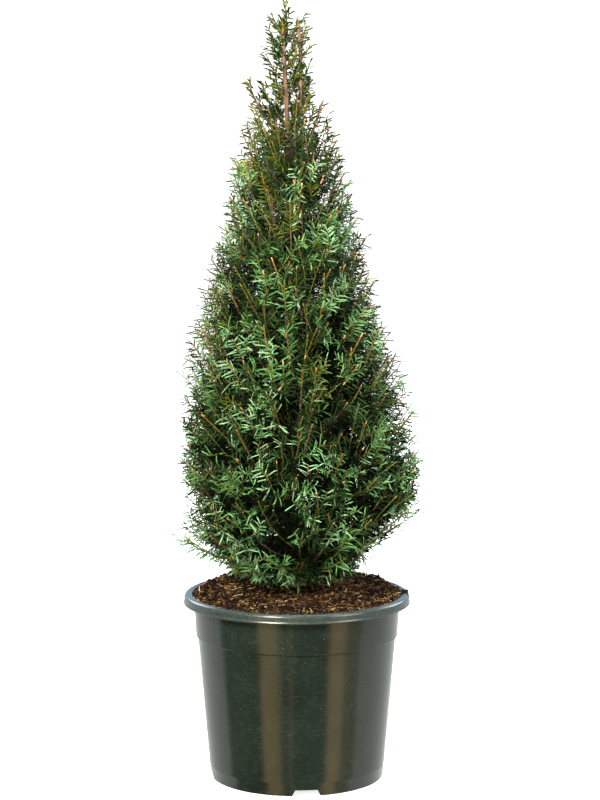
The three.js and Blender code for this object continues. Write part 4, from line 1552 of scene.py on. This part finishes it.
def makeBowl():
    # the white bowl shows to the camera alone. Away from the plant it glows, so that it is white all round.
    bowl = ringSolid("studioBowl", onAxis(studio["bowl"]), 96)
    values = {"Base Color": linearColour(studio["bowlColour"]), "Roughness": 0.9, "Emission Color": (1, 1, 1, 1)}
    material, tree, shader = newMaterial("whiteCove", values)
    place = addNode(tree, "ShaderNodeTexCoord")
    away = addNode(tree, "ShaderNodeVectorMath", {"operation": "LENGTH"}, {}, {0: (place, "Object")})
    glowAcross(tree, shader, (away, "Value"), studio["bowlGlowReach"], studio["bowlGlow"])
    bowl.data.materials.append(material)
    bowl.visible_diffuse = bowl.visible_glossy = bowl.visible_shadow = False
    smoothByAngle(bowl, 60)


def makeBounce():
    # a grey board under the plant, out of the camera's sight, which throws back a little light
    place = (0, 0, mm(studio["bounceHeight"]))
    radius = mm(studio["bounceRadius"])
    bpy.ops.mesh.primitive_circle_add(vertices=64, radius=radius, fill_type="NGON", location=place)
    bounce = bpy.context.active_object
    bounce.name = "bounceBoard"
    values = {"Base Color": linearColour(studio["bounceColour"]), "Roughness": 0.9}
    bounce.data.materials.append(newMaterial("greyBoard", values)[0])
    bounce.visible_camera = bounce.visible_glossy = False
    bpy.ops.object.select_all(action="DESELECT")


def makeMirrorSky():
    # half a globe that only glossy faces see
    radius, foot = (mm(size) for size in studio["mirrorDome"])
    bpy.ops.mesh.primitive_uv_sphere_add(segments=48, ring_count=24, radius=radius)
    dome = bpy.context.active_object
    dome.name = "mirrorSky"
    bpy.ops.object.mode_set(mode="EDIT")
    bpy.ops.mesh.bisect(plane_co=(0, 0, foot), plane_no=(0, 0, 1), clear_inner=True)
    bpy.ops.object.mode_set(mode="OBJECT")
    colour, front, back = studio["mirrorSky"]
    values = {"Base Color": (0, 0, 0, 1), "Specular IOR Level": 0.0, "Emission Color": linearColour(colour)}
    material, tree, shader = newMaterial("skyCard", values)
    place = addNode(tree, "ShaderNodeTexCoord")
    split = addNode(tree, "ShaderNodeSeparateXYZ", links={"Vector": (place, "Object")})
    glowAcross(tree, shader, (split, "Y"), (-radius, radius), (front, back))
    dome.data.materials.append(material)
    dome.visible_camera = dome.visible_diffuse = dome.visible_shadow = False
    bpy.ops.object.select_all(action="DESELECT")


def makeSky():
    # a soft sky above the horizon, and below it the bands that the pot's wall mirrors
    world = bpy.data.worlds.new("studioWorld")
    bpy.context.scene.world = world
    world.use_nodes = True
    tree = world.node_tree
    place = addNode(tree, "ShaderNodeTexCoord")
    split = addNode(tree, "ShaderNodeSeparateXYZ", links={"Vector": (place, "Generated")})
    front = addNode(tree, "ShaderNodeMath", {"operation": "MULTIPLY"}, {1: -1.0}, {0: (split, "Y")})
    bearing = addNode(tree, "ShaderNodeMath", {"operation": "ARCTAN2"}, {}, {0: (split, "X"), 1: (front, 0)})
    turn = {"From Min": -math.pi, "From Max": math.pi}
    around = addNode(tree, "ShaderNodeMapRange", {}, turn, {"Value": (bearing, 0)})
    stops = [((degrees + 180) / 360, hexText) for degrees, hexText in studio["lowerSky"]]
    bands = addNode(tree, "ShaderNodeValToRGB", links={"Fac": (around, "Result")}, stops=stops)
    strength = {"Strength": studio["lowerStrength"]}
    lower = addNode(tree, "ShaderNodeBackground", {}, strength, {"Color": (bands, "Color")})
    colour, strength = studio["upperSky"]
    upper = addNode(tree, "ShaderNodeBackground", {}, {"Color": linearColour(colour), "Strength": strength})
    edge = {"From Min": studio["horizon"][0], "From Max": studio["horizon"][1]}
    horizon = addNode(tree, "ShaderNodeMapRange", {}, edge, {"Value": (split, "Z")})
    sky = addNode(tree, "ShaderNodeMixShader", links={0: (horizon, "Result"), 1: (lower, 0), 2: (upper, 0)})
    tree.links.new(sky.outputs[0], tree.nodes["World Output"].inputs["Surface"])


def makeLights():
    for name, place, target, width, height, watts, colour in studio["lights"]:
        light = bpy.data.lights.new(name, "AREA")
        light.shape = "RECTANGLE"
        light.size, light.size_y = mm(width), mm(height)
        light.energy = watts
        light.color = linearColour(colour)[:3]
        lamp = bpy.data.objects.new(name, light)
        lamp.location = mmPoint(place)
        lamp.rotation_euler = (mmPoint(target) - mmPoint(place)).to_track_quat("-Z", "Y").to_euler()
        lamp.visible_camera = False
        lamp.visible_glossy = name not in studio["unmirrored"]
        bpy.context.scene.collection.objects.link(lamp)


def makeCamera():
    lens = bpy.data.cameras.new("camera")
    lens.lens = studio["lens"]
    lens.sensor_width = 36
    lens.clip_end = 200
    camera = bpy.data.objects.new("camera", lens)
    camera.location = mmPoint(studio["cameraPlace"])
    camera.rotation_euler = (math.radians(90 - studio["cameraPitch"]), 0, 0)
    bpy.context.scene.collection.objects.link(camera)
    bpy.context.scene.camera = camera
    bpy.context.scene.view_settings.view_transform = "Standard"


def makeStudio():
    makeCamera()
    makeBowl()
    makeBounce()
    makeMirrorSky()
    makeSky()
    makeLights()
    print("studio: camera, bowl and", len(studio["lights"]), "lights")


makeStudio()
makePot()
makeSoil()
allMasses = layOutMasses()
yewBark = makeBarkMaterial()
makeTrunk(yewBark)
makeBoughs(allMasses, yewBark)
makeFoliage(allMasses)
